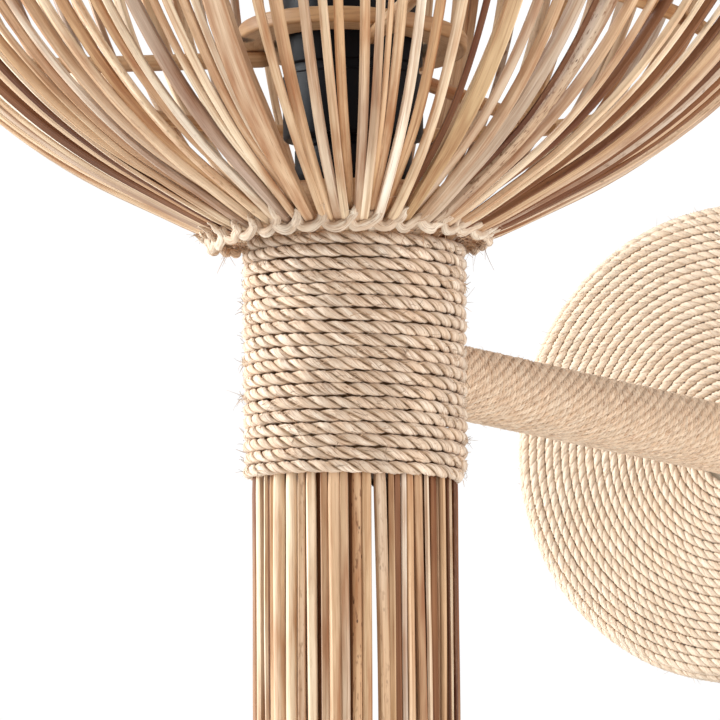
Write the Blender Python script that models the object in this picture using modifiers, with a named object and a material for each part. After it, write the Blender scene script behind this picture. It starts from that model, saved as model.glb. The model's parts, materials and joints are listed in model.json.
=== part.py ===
"""Wall sconce of natural rattan sticks: a wall canopy and a horizontal arm, both covered in twine, carry a
rope-bound neck. Above the neck a bowl of sticks spreads round a lampholder, below it a straight bundle of
sticks hangs down. Metres, +Z up. The origin is the centre of the canopy's back, the wall is the plane y = 0,
and the lamp stands in front of it, at -Y."""

import math

import bmesh
import bpy
from mathutils import Matrix, Vector

# Driving dimensions
AXIS_Y = -0.305            # the lamp's vertical axis, in front of the wall
COLLAR_RADIUS = 0.0311     # outside of the rope round the neck
COLLAR_TOP = 0.033         # the arm meets the collar half way up, at z = 0
ROPE_WALL = 0.0022         # how far the flattened rope stands out from the sticks
ARM_RADIUS = 0.008         # steel tube
ARM_TWINE_RADIUS = 0.01075
CANOPY_RADIUS = 0.071      # sheet metal pan
CANOPY_DEPTH = 0.0192
CANOPY_TWINE = 0.003       # twine coil on the pan
BOWL_STICKS = 60
BOWL_GROUPS = 10
BOWL_HEIGHT = 0.150        # from the collar's top to the tips of the sticks
TAIL_STICKS = 48
TAIL_GROUPS = 6
TAIL_LENGTH = 0.220        # below the collar
HOLDER_RADIUS = 0.0195
BULB_RADIUS = 0.030
GAP = 0.0003               # between pieces that touch

# Bowl outline, outside of the sticks: (radius, height above the collar), a straight flank and then one arc
FLANK_START = (0.0391, 0.0)
FLANK_END_RADIUS = 0.066
FLANK_SLOPE = math.radians(25.5)
ARC_RADIUS = 0.165
STICK_HALF = 0.0024        # half the width of a bowl stick, away from the neck
NECK_STICK_HALF = 0.00125
TAIL_STICK_HALF = 0.0016
TAIL_STICK_CIRCLE = 0.0269
ROOT_INNER, ROOT_OUTER = 0.0243, 0.0277
CORE_RADIUS = 0.024
ROD_HALF = 0.00225
FRAME_TILT = math.radians(6.2)   # the rattan frame in the bowl is higher in front than at the wall side
FRAME_HEIGHT = COLLAR_TOP + 0.0563

LAMP_AXIS = Vector((0, AXIS_Y, 0))


def clear_scene():
    for old in list(bpy.data.objects):
        bpy.data.objects.remove(old, do_unlink=True)


def new_collection(name):
    made = bpy.data.collections.new(name)
    bpy.context.scene.collection.children.link(made)
    return made


def material(name, colour, roughness, metallic=0.0, alpha=1.0):
    made = bpy.data.materials.new(name)
    made.use_nodes = True
    shader = made.node_tree.nodes["Principled BSDF"]
    shader.inputs["Base Color"].default_value = (*colour, 1.0)
    shader.inputs["Roughness"].default_value = roughness
    shader.inputs["Metallic"].default_value = metallic
    shader.inputs["Alpha"].default_value = alpha
    return made


clear_scene()
PARTS = new_collection("rattan_wall_sconce")
CUTTERS = new_collection("cutters")
CUTTERS.hide_render = True

RATTAN = material("rattan_stick", (0.62, 0.46, 0.31), 0.55)
CANE = material("rattan_cane", (0.58, 0.38, 0.20), 0.5)
ROPE = material("abaca_rope", (0.78, 0.66, 0.50), 0.85)
TWINE = material("abaca_twine", (0.82, 0.70, 0.55), 0.9)
WOOD = material("turned_wood", (0.50, 0.32, 0.17), 0.6)
STEEL = material("zinc_steel", (0.62, 0.62, 0.63), 0.35, 1.0)
BLACK = material("black_phenolic", (0.012, 0.012, 0.014), 0.35)
PORCELAIN = material("white_ceramic", (0.86, 0.85, 0.82), 0.25)
BRASS = material("brass", (0.78, 0.57, 0.27), 0.3, 1.0)
NICKEL = material("nickel_cap", (0.70, 0.69, 0.67), 0.25, 1.0)
GLASS = material("clear_glass", (0.95, 0.96, 0.96), 0.03, 0.0, 0.3)
FILAMENT = material("filament", (0.85, 0.62, 0.20), 0.5)
NYLON = material("white_nylon", (0.85, 0.85, 0.82), 0.45)
CABLE = material("cable_sheath", (0.80, 0.79, 0.76), 0.5)
ENAMEL = material("enamelled_steel", (0.70, 0.62, 0.50), 0.5)


def place(name, mesh, finish, location=(0, 0, 0), rotation=(0, 0, 0), group=None):
    made = bpy.data.objects.new(name, mesh)
    made.location = location
    made.rotation_euler = rotation
    (group or PARTS).objects.link(made)
    if finish:
        made.data.materials.append(finish)
    return made


def mesh_from(name, build):
    """A mesh that build(bm) fills."""
    mesh = bpy.data.meshes.new(name)
    bm = bmesh.new()
    build(bm)
    bmesh.ops.recalc_face_normals(bm, faces=bm.faces)
    bm.to_mesh(mesh)
    bm.free()
    return mesh


def turned(name, profile, finish, closed=False, steps=24, location=LAMP_AXIS, rotation=(0, 0, 0)):
    """A turned solid. profile runs down its outer side, (radius, z); a closed one comes back
    up its bore."""
    mesh = bpy.data.meshes.new(name)
    points = [(r, 0, z) for r, z in profile]
    count = len(points)
    edges = [(i, (i + 1) % count) for i in range(count if closed else count - 1)]
    mesh.from_pydata(points, edges, [])
    made = place(name, mesh, finish, location, rotation)
    screw = made.modifiers.new("turn", "SCREW")
    screw.steps = screw.render_steps = steps
    screw.use_merge_vertices = True
    screw.merge_threshold = 0.00001
    screw.use_smooth_shade = True
    return made


def tube_curve(name, points, radius, finish, resolution=2, cyclic=False, radii=None, group=None):
    """A round bar along points, with filled ends; radii scales it point by point."""
    curve = bpy.data.curves.new(name, "CURVE")
    curve.dimensions = "3D"
    curve.bevel_depth = radius
    curve.bevel_resolution = resolution
    curve.use_fill_caps = True
    line = curve.splines.new("POLY")
    line.points.add(len(points) - 1)
    for i, point in enumerate(points):
        line.points[i].co = (*point, 1)
        line.points[i].radius = radii[i] if radii else 1.0
    line.use_cyclic_u = cyclic
    return place(name, curve, finish, group=group)


def solid_from_curve(curve_object):
    """The curve's closed mesh as a new object in its place, so that it can be cut or joined."""
    bpy.context.view_layer.update()
    graph = bpy.context.evaluated_depsgraph_get()
    mesh = bpy.data.meshes.new_from_object(curve_object.evaluated_get(graph))
    bm = bmesh.new()
    bm.from_mesh(mesh)
    bmesh.ops.remove_doubles(bm, verts=bm.verts, dist=1e-6)
    bmesh.ops.recalc_face_normals(bm, faces=bm.faces)
    bm.to_mesh(mesh)
    bm.free()
    name = curve_object.name
    group = curve_object.users_collection[0]
    made = bpy.data.objects.new(name + "_solid", mesh)
    made.matrix_world = curve_object.matrix_world
    group.objects.link(made)
    bpy.data.objects.remove(curve_object)
    made.name = name
    return made


def hide_cutter(cutter):
    cutter.hide_render = True
    cutter.display_type = "WIRE"
    return cutter


def cylinder_cutter(name, radius, start, end, sides=16):
    """A cylinder from start to end."""
    start, end = Vector(start), Vector(end)
    length = (end - start).length

    def build(bm):
        bmesh.ops.create_cone(bm, cap_ends=True, segments=sides, radius1=radius, radius2=radius,
                              depth=length)

    turn = (end - start).to_track_quat("Z", "Y").to_euler()
    return hide_cutter(place(name, mesh_from(name, build), None, (start + end) / 2, turn, CUTTERS))


def box_mesh(name, size):
    def build(bm):
        bmesh.ops.create_cube(bm, size=1.0)
        bmesh.ops.scale(bm, vec=size, verts=bm.verts)

    return mesh_from(name, build)


def boolean(target, other, operation="DIFFERENCE"):
    made = target.modifiers.new(other.name, "BOOLEAN")
    made.operation = operation
    made.object = other
    made.solver = "EXACT"
    return made


def prism(name, outline, thickness, finish, location, rotation=(0, 0, 0)):
    """A flat outline of (x, y) points, extruded to thickness about its own plane."""
    curve = bpy.data.curves.new(name, "CURVE")
    curve.dimensions = "2D"
    curve.fill_mode = "BOTH"
    curve.extrude = thickness / 2
    line = curve.splines.new("POLY")
    line.points.add(len(outline) - 1)
    for i, (x, y) in enumerate(outline):
        line.points[i].co = (x, y, 0, 1)
    line.use_cyclic_u = True
    return place(name, curve, finish, location, rotation)


def circle_points(radius, centre, count, tilt=0.0):
    """Points round a circle that is level, or turned by tilt about X so that its -Y side rises."""
    turn = Matrix.Rotation(-tilt, 3, "X")
    points = []
    for i in range(count):
        a = 2 * math.pi * i / count
        points.append(Vector(centre) + turn @ Vector((radius * math.cos(a), radius * math.sin(a), 0)))
    return points


def arc_block(name, inner, outer, low, high, middle, width, finish, steps=6, group=None):
    """Part of a ring round the lamp's axis, width radians wide about the angle middle."""
    start = middle - width / 2

    def build(bm):
        sections = []
        for i in range(steps + 1):
            a = start + width * i / steps
            c, s = math.cos(a), math.sin(a)
            corners = ((inner, low), (outer, low), (outer, high), (inner, high))
            sections.append([bm.verts.new((r * c, r * s, z)) for r, z in corners])
        for first, second in zip(sections, sections[1:]):
            for j in range(4):
                k = (j + 1) % 4
                bm.faces.new((first[j], first[k], second[k], second[j]))
        bm.faces.new(sections[0])
        bm.faces.new(list(reversed(sections[-1])))

    return place(name, mesh_from(name, build), finish, LAMP_AXIS, group=group)


def screw_profile(head_radius, head_height, shank_radius, length):
    """A pan-head screw, head up, its head's underside at z = 0."""
    return [(0, head_height), (head_radius * 0.7, head_height), (head_radius, head_height * 0.4),
            (head_radius, 0), (shank_radius, 0), (shank_radius, -length * 0.85), (0, -length)]


def hex_nut(name, across_flats, bore, thickness, location, rotation):
    corner = across_flats / math.sqrt(3)

    def build(bm):
        bmesh.ops.create_cone(bm, cap_ends=True, segments=6, radius1=corner, radius2=corner,
                              depth=thickness)

    nut = place(name, mesh_from(name, build), STEEL, location, rotation)
    axis = Matrix.Rotation(rotation[0], 3, "X") @ Vector((0, 0, thickness))
    centre = Vector(location)
    boolean(nut, cylinder_cutter(name + "_bore", bore, centre - axis, centre + axis))
    return nut


# The wall side

PAN_WALL = 0.0012
EAR_FACE = 0.0683
CANOPY_SCREW_Y = -0.0085
STRAP_WIDTH = 0.024
STRAP_WALL = 0.0025
EAR_DEPTH = 0.015
WALL_SCREW_Z = 0.035
EARTH_Z = -0.018
FRONT_Y = -CANOPY_DEPTH - GAP - CANOPY_TWINE   # front of the twine on the canopy
FACE_OUT = (math.pi / 2, 0, 0)                 # turns +Z to -Y, out of the wall


def build_wall_side():
    outline = [(-EAR_FACE, 0), (EAR_FACE, 0), (EAR_FACE, EAR_DEPTH), (EAR_FACE - STRAP_WALL, EAR_DEPTH),
               (EAR_FACE - STRAP_WALL, STRAP_WALL), (STRAP_WALL - EAR_FACE, STRAP_WALL),
               (STRAP_WALL - EAR_FACE, EAR_DEPTH), (-EAR_FACE, EAR_DEPTH)]
    # the outline's x runs up the wall and its y out of the wall
    bracket = prism("wall_bracket", outline, STRAP_WIDTH, STEEL, (0, 0, 0))
    bracket.matrix_world = Matrix(((0, 0, 1, 0), (0, -1, 0, 0), (1, 0, 0, 0), (0, 0, 0, 1)))
    bracket = solid_from_curve(bracket)
    for side, z in (("top", WALL_SCREW_Z), ("bottom", -WALL_SCREW_Z)):
        boolean(bracket, cylinder_cutter("wall_hole_" + side, 0.0025, (0, 0.01, z), (0, -0.01, z)))
    boolean(bracket, cylinder_cutter("earth_hole", 0.0021, (0, 0.01, EARTH_Z), (0, -0.01, EARTH_Z)))
    turned("earth_screw", screw_profile(0.0034, 0.0020, 0.0018, 0.0020), BRASS, steps=16,
           location=(0, -STRAP_WALL - GAP, EARTH_Z), rotation=FACE_OUT)
    boolean(bracket, cylinder_cutter("supply_hole", 0.007, (0, 0.01, 0.018), (0, -0.01, 0.018)))

    inner = CANOPY_RADIUS - PAN_WALL
    lip = 0.003
    pan = turned("canopy_pan", [
        (ARM_RADIUS + GAP, CANOPY_DEPTH), (CANOPY_RADIUS - lip, CANOPY_DEPTH),
        (CANOPY_RADIUS, CANOPY_DEPTH - lip), (CANOPY_RADIUS, 0), (inner, 0),
        (inner, CANOPY_DEPTH - lip), (inner - lip + PAN_WALL, CANOPY_DEPTH - PAN_WALL),
        (ARM_RADIUS + GAP, CANOPY_DEPTH - PAN_WALL)], ENAMEL, True, 36, (0, 0, 0), FACE_OUT)
    skin_in, skin_out = CANOPY_RADIUS + GAP, CANOPY_RADIUS + CANOPY_TWINE
    near, far = CANOPY_DEPTH + GAP, -FRONT_Y
    twine = turned("canopy_twine", [
        (ARM_RADIUS + 2 * GAP, far), (skin_out - 0.006, far), (skin_out - 0.0018, far - 0.0018),
        (skin_out, far - 0.006), (skin_out, 0.0012), (skin_in, 0.0012),
        (skin_in, near - 0.003), (skin_in - 0.003, near), (ARM_RADIUS + 2 * GAP, near)],
        TWINE, True, 36, (0, 0, 0), FACE_OUT)
    for side, way in (("top", 1), ("bottom", -1)):
        hole = cylinder_cutter("canopy_hole_" + side, 0.0023, (0, CANOPY_SCREW_Y, way * 0.055),
                               (0, CANOPY_SCREW_Y, way * 0.085))
        for target in (bracket, pan, twine):
            boolean(target, hole)
        turn = (0, 0, 0) if way > 0 else (math.pi, 0, 0)
        turned("canopy_screw_" + side, screw_profile(0.0036, 0.0018, 0.002, 0.014), BRASS, steps=16,
               location=(0, CANOPY_SCREW_Y, way * (skin_out + GAP)), rotation=turn)

    block = place("terminal_block", box_mesh("terminal_block", (0.024, 0.011, 0.020)), NYLON,
                  (0.034, -0.0105, 0))
    bevel = block.modifiers.new("edges", "BEVEL")
    bevel.width = 0.001
    bevel.segments = 1


# The arm

TUBE_WALL = 0.0014
ARM_END = AXIS_Y + 0.0125
ARM_START = -0.009
CABLE_RADIUS = 0.0019
BEND = 0.010


def build_arm():
    long = ARM_START - ARM_END
    turned("arm_tube", [(ARM_RADIUS, long), (ARM_RADIUS, 0), (ARM_RADIUS - TUBE_WALL, 0),
                        (ARM_RADIUS - TUBE_WALL, long)], STEEL, True, 20, (0, ARM_START, 0), FACE_OUT)
    inside = CANOPY_DEPTH - PAN_WALL - GAP
    turned("arm_washer", [(0.0135, 0.0012), (0.0135, 0), (ARM_RADIUS + GAP, 0), (ARM_RADIUS + GAP, 0.0012)],
           STEEL, True, 24, (0, 0.0012 - inside, 0), FACE_OUT)
    hex_nut("arm_locknut", 0.022, ARM_RADIUS + GAP, 0.004, (0, 0.0012 + GAP + 0.002 - inside, 0), FACE_OUT)

    twine_end = AXIS_Y + COLLAR_RADIUS + 0.0004
    long = FRONT_Y - GAP - twine_end
    turned("arm_twine", [(ARM_TWINE_RADIUS, long), (ARM_TWINE_RADIUS, 0), (ARM_RADIUS + GAP, 0),
                         (ARM_RADIUS + GAP, long)], TWINE, True, 20, (0, FRONT_Y - GAP, 0), FACE_OUT)

    points = [(0.0215, -0.0075, 0), (0.017, -0.0068, 0), (0.0125, -0.0056, 0), (0.008, -0.0052, 0),
              (0.004, -0.0066, 0), (0.0014, -0.0100, 0), (0.0003, -0.0145, 0), (0, -0.0200, 0)]
    straight = AXIS_Y + BEND
    for i in range(1, 9):
        points.append((0, -0.02 + (straight + 0.02) * i / 8, 0))
    for i in range(1, 9):
        a = math.pi / 2 * i / 8
        points.append((0, straight - BEND * math.sin(a), BEND * (1 - math.cos(a))))
    top = COLLAR_TOP + 0.026
    for i in range(1, 5):
        points.append((0, AXIS_Y, BEND + (top - BEND) * i / 4))
    tube_curve("lamp_cable", points, CABLE_RADIUS, CABLE)


# The neck

CORE_BOTTOM = -0.032
BASE_LOW, BASE_HIGH = COLLAR_TOP + 0.0028, COLLAR_TOP + 0.0150
NUT_THICK = 0.003
NIPPLE_RADIUS = 0.005


def build_neck():
    core_top = BASE_LOW - GAP
    edge = 0.001
    core = turned("neck_core", [
        (0, core_top), (CORE_RADIUS - edge, core_top), (CORE_RADIUS, core_top - edge),
        (CORE_RADIUS, CORE_BOTTOM + edge), (CORE_RADIUS - edge, CORE_BOTTOM), (0, CORE_BOTTOM)], WOOD)
    bores = (
        ("nut_pocket", 0.011, (0, AXIS_Y, core_top + 0.01), (0, AXIS_Y, core_top - 0.010)),
        ("wire_bore", 0.0055, (0, AXIS_Y, core_top + 0.01), (0, AXIS_Y, -0.0055)),
        ("arm_bore", ARM_RADIUS + GAP, (0, ARM_END - GAP, 0), (0, AXIS_Y + 0.05, 0)),
        ("wire_cross_bore", 0.0055, (0, AXIS_Y - 0.003, 0), (0, AXIS_Y + 0.03, 0)),
        ("fixing_bore", 0.0023, (0, AXIS_Y + 0.0185, CORE_BOTTOM - 0.01), (0, AXIS_Y + 0.0185, 0)),
    )
    for name, radius, start, end in bores:
        boolean(core, cylinder_cutter(name, radius, start, end))
    turned("arm_fixing_screw", screw_profile(0.0036, 0.0018, 0.002, 0.0230), STEEL, steps=16,
           location=(0, AXIS_Y + 0.0185, CORE_BOTTOM - GAP), rotation=(math.pi, 0, 0))

    base = turned("shade_base", [
        (0, BASE_HIGH), (0.0238, BASE_HIGH), (0.0255, BASE_HIGH - 0.0017), (0.0255, BASE_LOW + 0.0017),
        (0.0238, BASE_LOW), (0, BASE_LOW)], WOOD)
    boolean(base, cylinder_cutter("nipple_hole", NIPPLE_RADIUS + GAP, (0, AXIS_Y, BASE_LOW - 0.01),
                                  (0, AXIS_Y, BASE_HIGH + 0.01)))
    for side, x in (("left", -0.0205), ("right", 0.0205)):
        hole = cylinder_cutter("base_hole_" + side, 0.0016, (x, AXIS_Y, 0.010), (x, AXIS_Y, 0.060))
        boolean(base, hole)
        boolean(core, hole)
        turned("base_screw_" + side, screw_profile(0.0028, 0.0014, 0.0013, 0.0210), STEEL, steps=16,
               location=(x, AXIS_Y, BASE_HIGH + GAP))

    nut_low = core_top - 0.0085
    turned("nipple", [(NIPPLE_RADIUS, COLLAR_TOP + 0.0205), (NIPPLE_RADIUS, nut_low - 0.001),
                      (0.0032, nut_low - 0.001), (0.0032, COLLAR_TOP + 0.0205)], BRASS, True, 16)
    hex_nut("nipple_nut", 0.014, NIPPLE_RADIUS + GAP, NUT_THICK,
            (0, AXIS_Y, BASE_LOW - 2 * GAP - NUT_THICK / 2), (0, 0, 0))


def rope_band(name, low, high):
    """The outer shape of a rope winding: a ring with rounded shoulders."""
    inner, outer = COLLAR_RADIUS - ROPE_WALL, COLLAR_RADIUS
    soft = 0.0012
    return turned(name, [(inner, high), (outer - soft, high), (outer, high - soft), (outer, low + soft),
                         (outer - soft, low), (inner, low)], ROPE, True, 30)


def build_windings():
    collar = rope_band("rope_collar", -0.033, COLLAR_TOP - 0.0020)
    boolean(collar, cylinder_cutter("arm_hole", ARM_RADIUS + GAP, (0, AXIS_Y + 0.02, 0),
                                    (0, AXIS_Y + 0.04, 0)))
    bottom = -0.033 - TAIL_LENGTH
    rope_band("tail_binding", bottom + 0.021, bottom + 0.045)
    turned("tail_former", [(0, bottom + 0.037), (0.0249, bottom + 0.037), (0.0249, bottom + 0.029),
                           (0, bottom + 0.029)], WOOD, steps=24)
    ring = circle_points(0.0366, (0, AXIS_Y, COLLAR_TOP - 0.0020), 36)
    tube_curve("neck_twining", ring, 0.0017, TWINE, 0, True)


# The bowl

def outline_point(slope):
    """(radius, height) on the outside of the bowl's arc where its slope is this."""
    flank_height = (FLANK_END_RADIUS - FLANK_START[0]) * math.tan(FLANK_SLOPE)
    return (FLANK_END_RADIUS + ARC_RADIUS * (math.sin(slope) - math.sin(FLANK_SLOPE)),
            flank_height + ARC_RADIUS * (math.cos(FLANK_SLOPE) - math.cos(slope)))


def offset_point(slope, inward):
    """The same, moved inward along the wall's normal."""
    radius, height = outline_point(slope)
    return radius - inward * math.sin(slope), height + inward * math.cos(slope)


STICK_CENTRE = 0.0019      # from the outline to the middle of a stick
LAST_SLOPE = math.radians(84)


def stick_line():
    """A bowl stick's middle line as (radius, height, half width), from its root in the neck to its tip."""
    line = [(0.0260, -0.0090, NECK_STICK_HALF), (0.0266, -0.0020, NECK_STICK_HALF),
            (0.0308, 0.0010, NECK_STICK_HALF), (0.0383, 0.0019, NECK_STICK_HALF)]
    steps = 5
    for i in range(steps):
        slope = FLANK_SLOPE + (LAST_SLOPE - FLANK_SLOPE) * i / steps
        line.append((*offset_point(slope, STICK_CENTRE), STICK_HALF if i else 0.0021))
    radius, height = offset_point(LAST_SLOPE, STICK_CENTRE)
    line.append((radius + (BOWL_HEIGHT - height) / math.tan(LAST_SLOPE), BOWL_HEIGHT, STICK_HALF))
    return line


def build_bowl():
    line = stick_line()
    per_group = BOWL_STICKS // BOWL_GROUPS
    pitch = 2 * math.pi / BOWL_STICKS
    for g in range(BOWL_GROUPS):
        middle = 2 * math.pi * g / BOWL_GROUPS
        name = f"bowl_sticks_{g + 1:02d}"
        width = per_group * pitch - 0.0004 / ROOT_INNER
        root = arc_block(name, ROOT_INNER, ROOT_OUTER - 0.0006, COLLAR_TOP - 0.014, COLLAR_TOP - 0.005,
                         middle, width, RATTAN, 6)
        for i in range(per_group):
            a = middle + (i - (per_group - 1) / 2) * pitch
            points = [(r * math.cos(a), AXIS_Y + r * math.sin(a), COLLAR_TOP + h) for r, h, _ in line]
            halves = [half for _, _, half in line]
            stick = tube_curve(f"{name}_stick_{i}", points, 1.0, None, 0, False, halves, CUTTERS)
            boolean(root, hide_cutter(solid_from_curve(stick)), "UNION")


def build_tail():
    per_group = TAIL_STICKS // TAIL_GROUPS
    pitch = 2 * math.pi / TAIL_STICKS
    top, low = COLLAR_TOP - 0.0144, CORE_BOTTOM
    hole = cylinder_cutter("arm_way", ARM_RADIUS + 2 * GAP, (0, AXIS_Y + 0.01, 0), (0, AXIS_Y + 0.05, 0))
    for g in range(TAIL_GROUPS):
        middle = math.pi / 2 + 2 * math.pi * g / TAIL_GROUPS
        name = f"tail_sticks_{g + 1}"
        width = per_group * pitch - 0.0004 / ROOT_INNER
        root = arc_block(name, ROOT_INNER, ROOT_OUTER, low, top, middle, width, RATTAN, 8)
        for i in range(per_group):
            a = middle + (i - (per_group - 1) / 2) * pitch
            x, y = TAIL_STICK_CIRCLE * math.cos(a), AXIS_Y + TAIL_STICK_CIRCLE * math.sin(a)
            ends = [(x, y, -0.024), (x, y, -0.033 - TAIL_LENGTH)]
            stick = tube_curve(f"{name}_stick_{i}", ends, TAIL_STICK_HALF, None, 0, group=CUTTERS)
            boolean(root, hide_cutter(solid_from_curve(stick)), "UNION")
        if g == 0:
            boolean(root, hole)


def build_rows():
    """The twined rows round the bowl: one strand of each lies outside the sticks and one inside."""
    strand = 0.0015
    chord = 0.0014             # the sticks' straight stretches cut inside the arc by up to this
    reach = STICK_HALF + GAP + strand
    for row, slope in (("twining_row", math.radians(65)), ("rim_row", math.radians(78))):
        for side, inward in (("outer", STICK_CENTRE - reach), ("inner", STICK_CENTRE + reach + chord)):
            radius, height = offset_point(slope, inward)
            ring = circle_points(radius, (0, AXIS_Y, COLLAR_TOP + height), 40)
            tube_curve(f"{row}_{side}", ring, strand, TWINE, 0, True)


# The rattan frame in the bowl: a flat ring round the lampholder, rods under it, and a hoop at the rods' ends

RING_OUTER, RING_INNER, RING_THICK = 0.0320, 0.0215, 0.0045
ROD_DROP = RING_THICK / 2 + ROD_HALF + 0.00005
ROD_START = 0.0235
HOOP_RADIUS = 0.1070
HOOP_OFFSET = -0.0098      # the hoop's middle lies in front of the lamp's axis


def frame_point(angle, radius, drop):
    """A point in the frame's tilted plane, drop below it, at an angle and radius round the lamp's axis."""
    x, y = radius * math.cos(angle), radius * math.sin(angle)
    return Vector((x, AXIS_Y + y, FRAME_HEIGHT - drop - y * math.tan(FRAME_TILT)))


def build_frame():
    half, edge = RING_THICK / 2, 0.0012
    turned("shade_ring", [
        (RING_OUTER - edge, half), (RING_OUTER, half - edge), (RING_OUTER, edge - half),
        (RING_OUTER - edge, -half), (RING_INNER, -half), (RING_INNER, half)],
        CANE, True, 30, (0, AXIS_Y, FRAME_HEIGHT), (-FRAME_TILT, 0, 0))
    for name, angle in (("left", math.radians(188)), ("rear", math.radians(79)), ("front", math.radians(307))):
        across = HOOP_OFFSET * math.sin(angle)
        hoop_reach = across + math.sqrt(HOOP_RADIUS ** 2 - HOOP_OFFSET ** 2 + across ** 2)
        reach = hoop_reach - ROD_HALF - 0.0012
        ends = [frame_point(angle, ROD_START, ROD_DROP), frame_point(angle, reach, ROD_DROP)]
        tube_curve("rod_" + name, ends, ROD_HALF, CANE)
    middle = (0, AXIS_Y + HOOP_OFFSET, FRAME_HEIGHT - ROD_DROP - HOOP_OFFSET * math.tan(FRAME_TILT))
    hoop = circle_points(HOOP_RADIUS, middle, 40, FRAME_TILT)
    tube_curve("shade_hoop", hoop, ROD_HALF, CANE, 1, True)


# The lampholder and the bulb, heights from the collar's top

def above_collar(profile):
    return [(r, COLLAR_TOP + h) for r, h in profile]


def build_lampholder():
    turned("lampholder_cap", above_collar([
        (0.0053, 0.0190), (0.0143, 0.0190), (0.0143, 0.0303), (0.0153, 0.0303), (0.0153, 0.0260),
        (0.0163, 0.0255), (0.0163, 0.0180), (0.0148, 0.0154), (0.0053, 0.0154)]), BLACK, True)
    body = HOLDER_RADIUS
    turned("lampholder_body", above_collar([
        (body - 0.0016, 0.0730), (body - 0.0004, 0.0730), (body, 0.0722), (body, 0.0490),
        (body - 0.0010, 0.0485), (body - 0.0010, 0.0465), (body, 0.0460), (body, 0.0290),
        (body - 0.0006, 0.0280), (0.0157, 0.0280), (0.0157, 0.0300), (body - 0.0016, 0.0300)]), BLACK, True)
    turned("holder_insulator", above_collar([
        (0, 0.0385), (0.0174, 0.0385), (0.0174, 0.0308), (0, 0.0308)]), PORCELAIN)
    turned("screw_shell", above_collar([
        (0.0135, 0.0665), (0.0141, 0.0665), (0.0141, 0.0388), (0.0080, 0.0388), (0.0080, 0.0394),
        (0.0135, 0.0394)]), BRASS, True)
    turned("centre_contact", above_collar([(0, 0.0402), (0.0040, 0.0402), (0.0040, 0.0388), (0, 0.0388)]),
           BRASS, steps=16)


GLOBE_CENTRE = 0.1070
GLASS_WALL = 0.0009
GLASS_NECK = 0.0120
NECK_LOW = 0.0620


def globe_profile(radius, neck, low):
    """The glass's outside from its crown down to the neck's end, as an arc and a short straight neck."""
    meets = math.asin(neck / radius)
    points = []
    steps = 9
    for i in range(steps + 1):
        a = (math.pi - meets) * i / steps
        points.append((radius * math.sin(a), GLOBE_CENTRE + radius * math.cos(a)))
    points[-1] = (neck, points[-1][1])
    points.append((neck, low))
    return points


def build_bulb():
    turned("bulb_cap", above_collar([
        (0, 0.0416), (0.0036, 0.0426), (0.0100, 0.0452), (0.0125, 0.0466), (0.0125, 0.0680),
        (0.01305, 0.0680), (0.01305, 0.0460), (0.0105, 0.0445), (0.0045, 0.0420), (0.0040, 0.0406),
        (0, 0.0406)]), NICKEL, steps=20)
    outside = globe_profile(BULB_RADIUS, GLASS_NECK, NECK_LOW)
    inside = globe_profile(BULB_RADIUS - GLASS_WALL, GLASS_NECK - GLASS_WALL, NECK_LOW)
    turned("bulb_glass", above_collar(outside + inside[::-1]), GLASS, steps=22)
    turned("bulb_stem", above_collar([
        (0, 0.0960), (0.0016, 0.0950), (0.0018, 0.0800), (0.0040, 0.0730), (0.0085, 0.0660),
        (0.0100, 0.0640), (0, 0.0640)]), GLASS, steps=16)
    points = []
    steps = 32
    for i in range(steps + 1):
        a = 4 * math.pi * i / steps
        high = COLLAR_TOP + 0.0860 + 0.0330 * i / steps
        points.append((0.0085 * math.cos(a), AXIS_Y + 0.0085 * math.sin(a), high))
    tube_curve("bulb_filament", points, 0.0008, FILAMENT, 0)

    axis = bpy.data.objects.new("bulb_axis", None)
    axis.location = LAMP_AXIS
    PARTS.objects.link(axis)
    bpy.context.view_layer.update()
    for name in ("bulb_cap", "bulb_glass", "bulb_stem", "bulb_filament"):
        piece = bpy.data.objects[name]
        piece.parent = axis
        piece.matrix_parent_inverse = axis.matrix_world.inverted()


build_wall_side()
build_arm()
build_neck()
build_windings()
build_bowl()
build_tail()
build_rows()
build_frame()
build_lampholder()
build_bulb()
for made in PARTS.objects:
    if made.type == "MESH" and made.data.polygons:
        made.data.shade_smooth()
        made.data.set_sharp_from_angle(angle=math.radians(35))
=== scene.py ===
"""Visual model of a wall sconce of rattan sticks, rope and twine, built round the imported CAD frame.
Metres, +Z up. The wall is y = 0 and the lamp's vertical axis stands in front of it, at -Y."""

import json
from math import asin, cos, degrees, exp, pi, radians, remainder, sin, sqrt, tan

import bmesh
import bpy
import numpy as np
from mathutils import Matrix, Vector


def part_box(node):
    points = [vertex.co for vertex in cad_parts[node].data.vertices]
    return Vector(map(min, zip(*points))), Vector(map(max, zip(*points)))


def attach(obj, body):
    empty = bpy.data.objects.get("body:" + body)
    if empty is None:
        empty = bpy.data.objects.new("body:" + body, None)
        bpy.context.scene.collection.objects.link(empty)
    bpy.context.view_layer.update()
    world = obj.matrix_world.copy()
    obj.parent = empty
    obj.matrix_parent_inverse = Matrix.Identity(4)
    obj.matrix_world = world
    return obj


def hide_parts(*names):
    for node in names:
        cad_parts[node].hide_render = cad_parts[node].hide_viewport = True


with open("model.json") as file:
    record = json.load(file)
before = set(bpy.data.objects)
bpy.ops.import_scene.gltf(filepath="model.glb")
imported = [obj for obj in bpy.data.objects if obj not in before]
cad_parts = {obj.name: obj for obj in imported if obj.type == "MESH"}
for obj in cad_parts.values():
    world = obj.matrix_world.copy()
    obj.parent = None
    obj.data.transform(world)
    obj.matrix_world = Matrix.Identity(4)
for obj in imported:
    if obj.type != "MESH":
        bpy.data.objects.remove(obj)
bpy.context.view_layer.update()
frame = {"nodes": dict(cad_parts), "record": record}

TAU = 2 * pi
MM = 0.001

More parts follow.
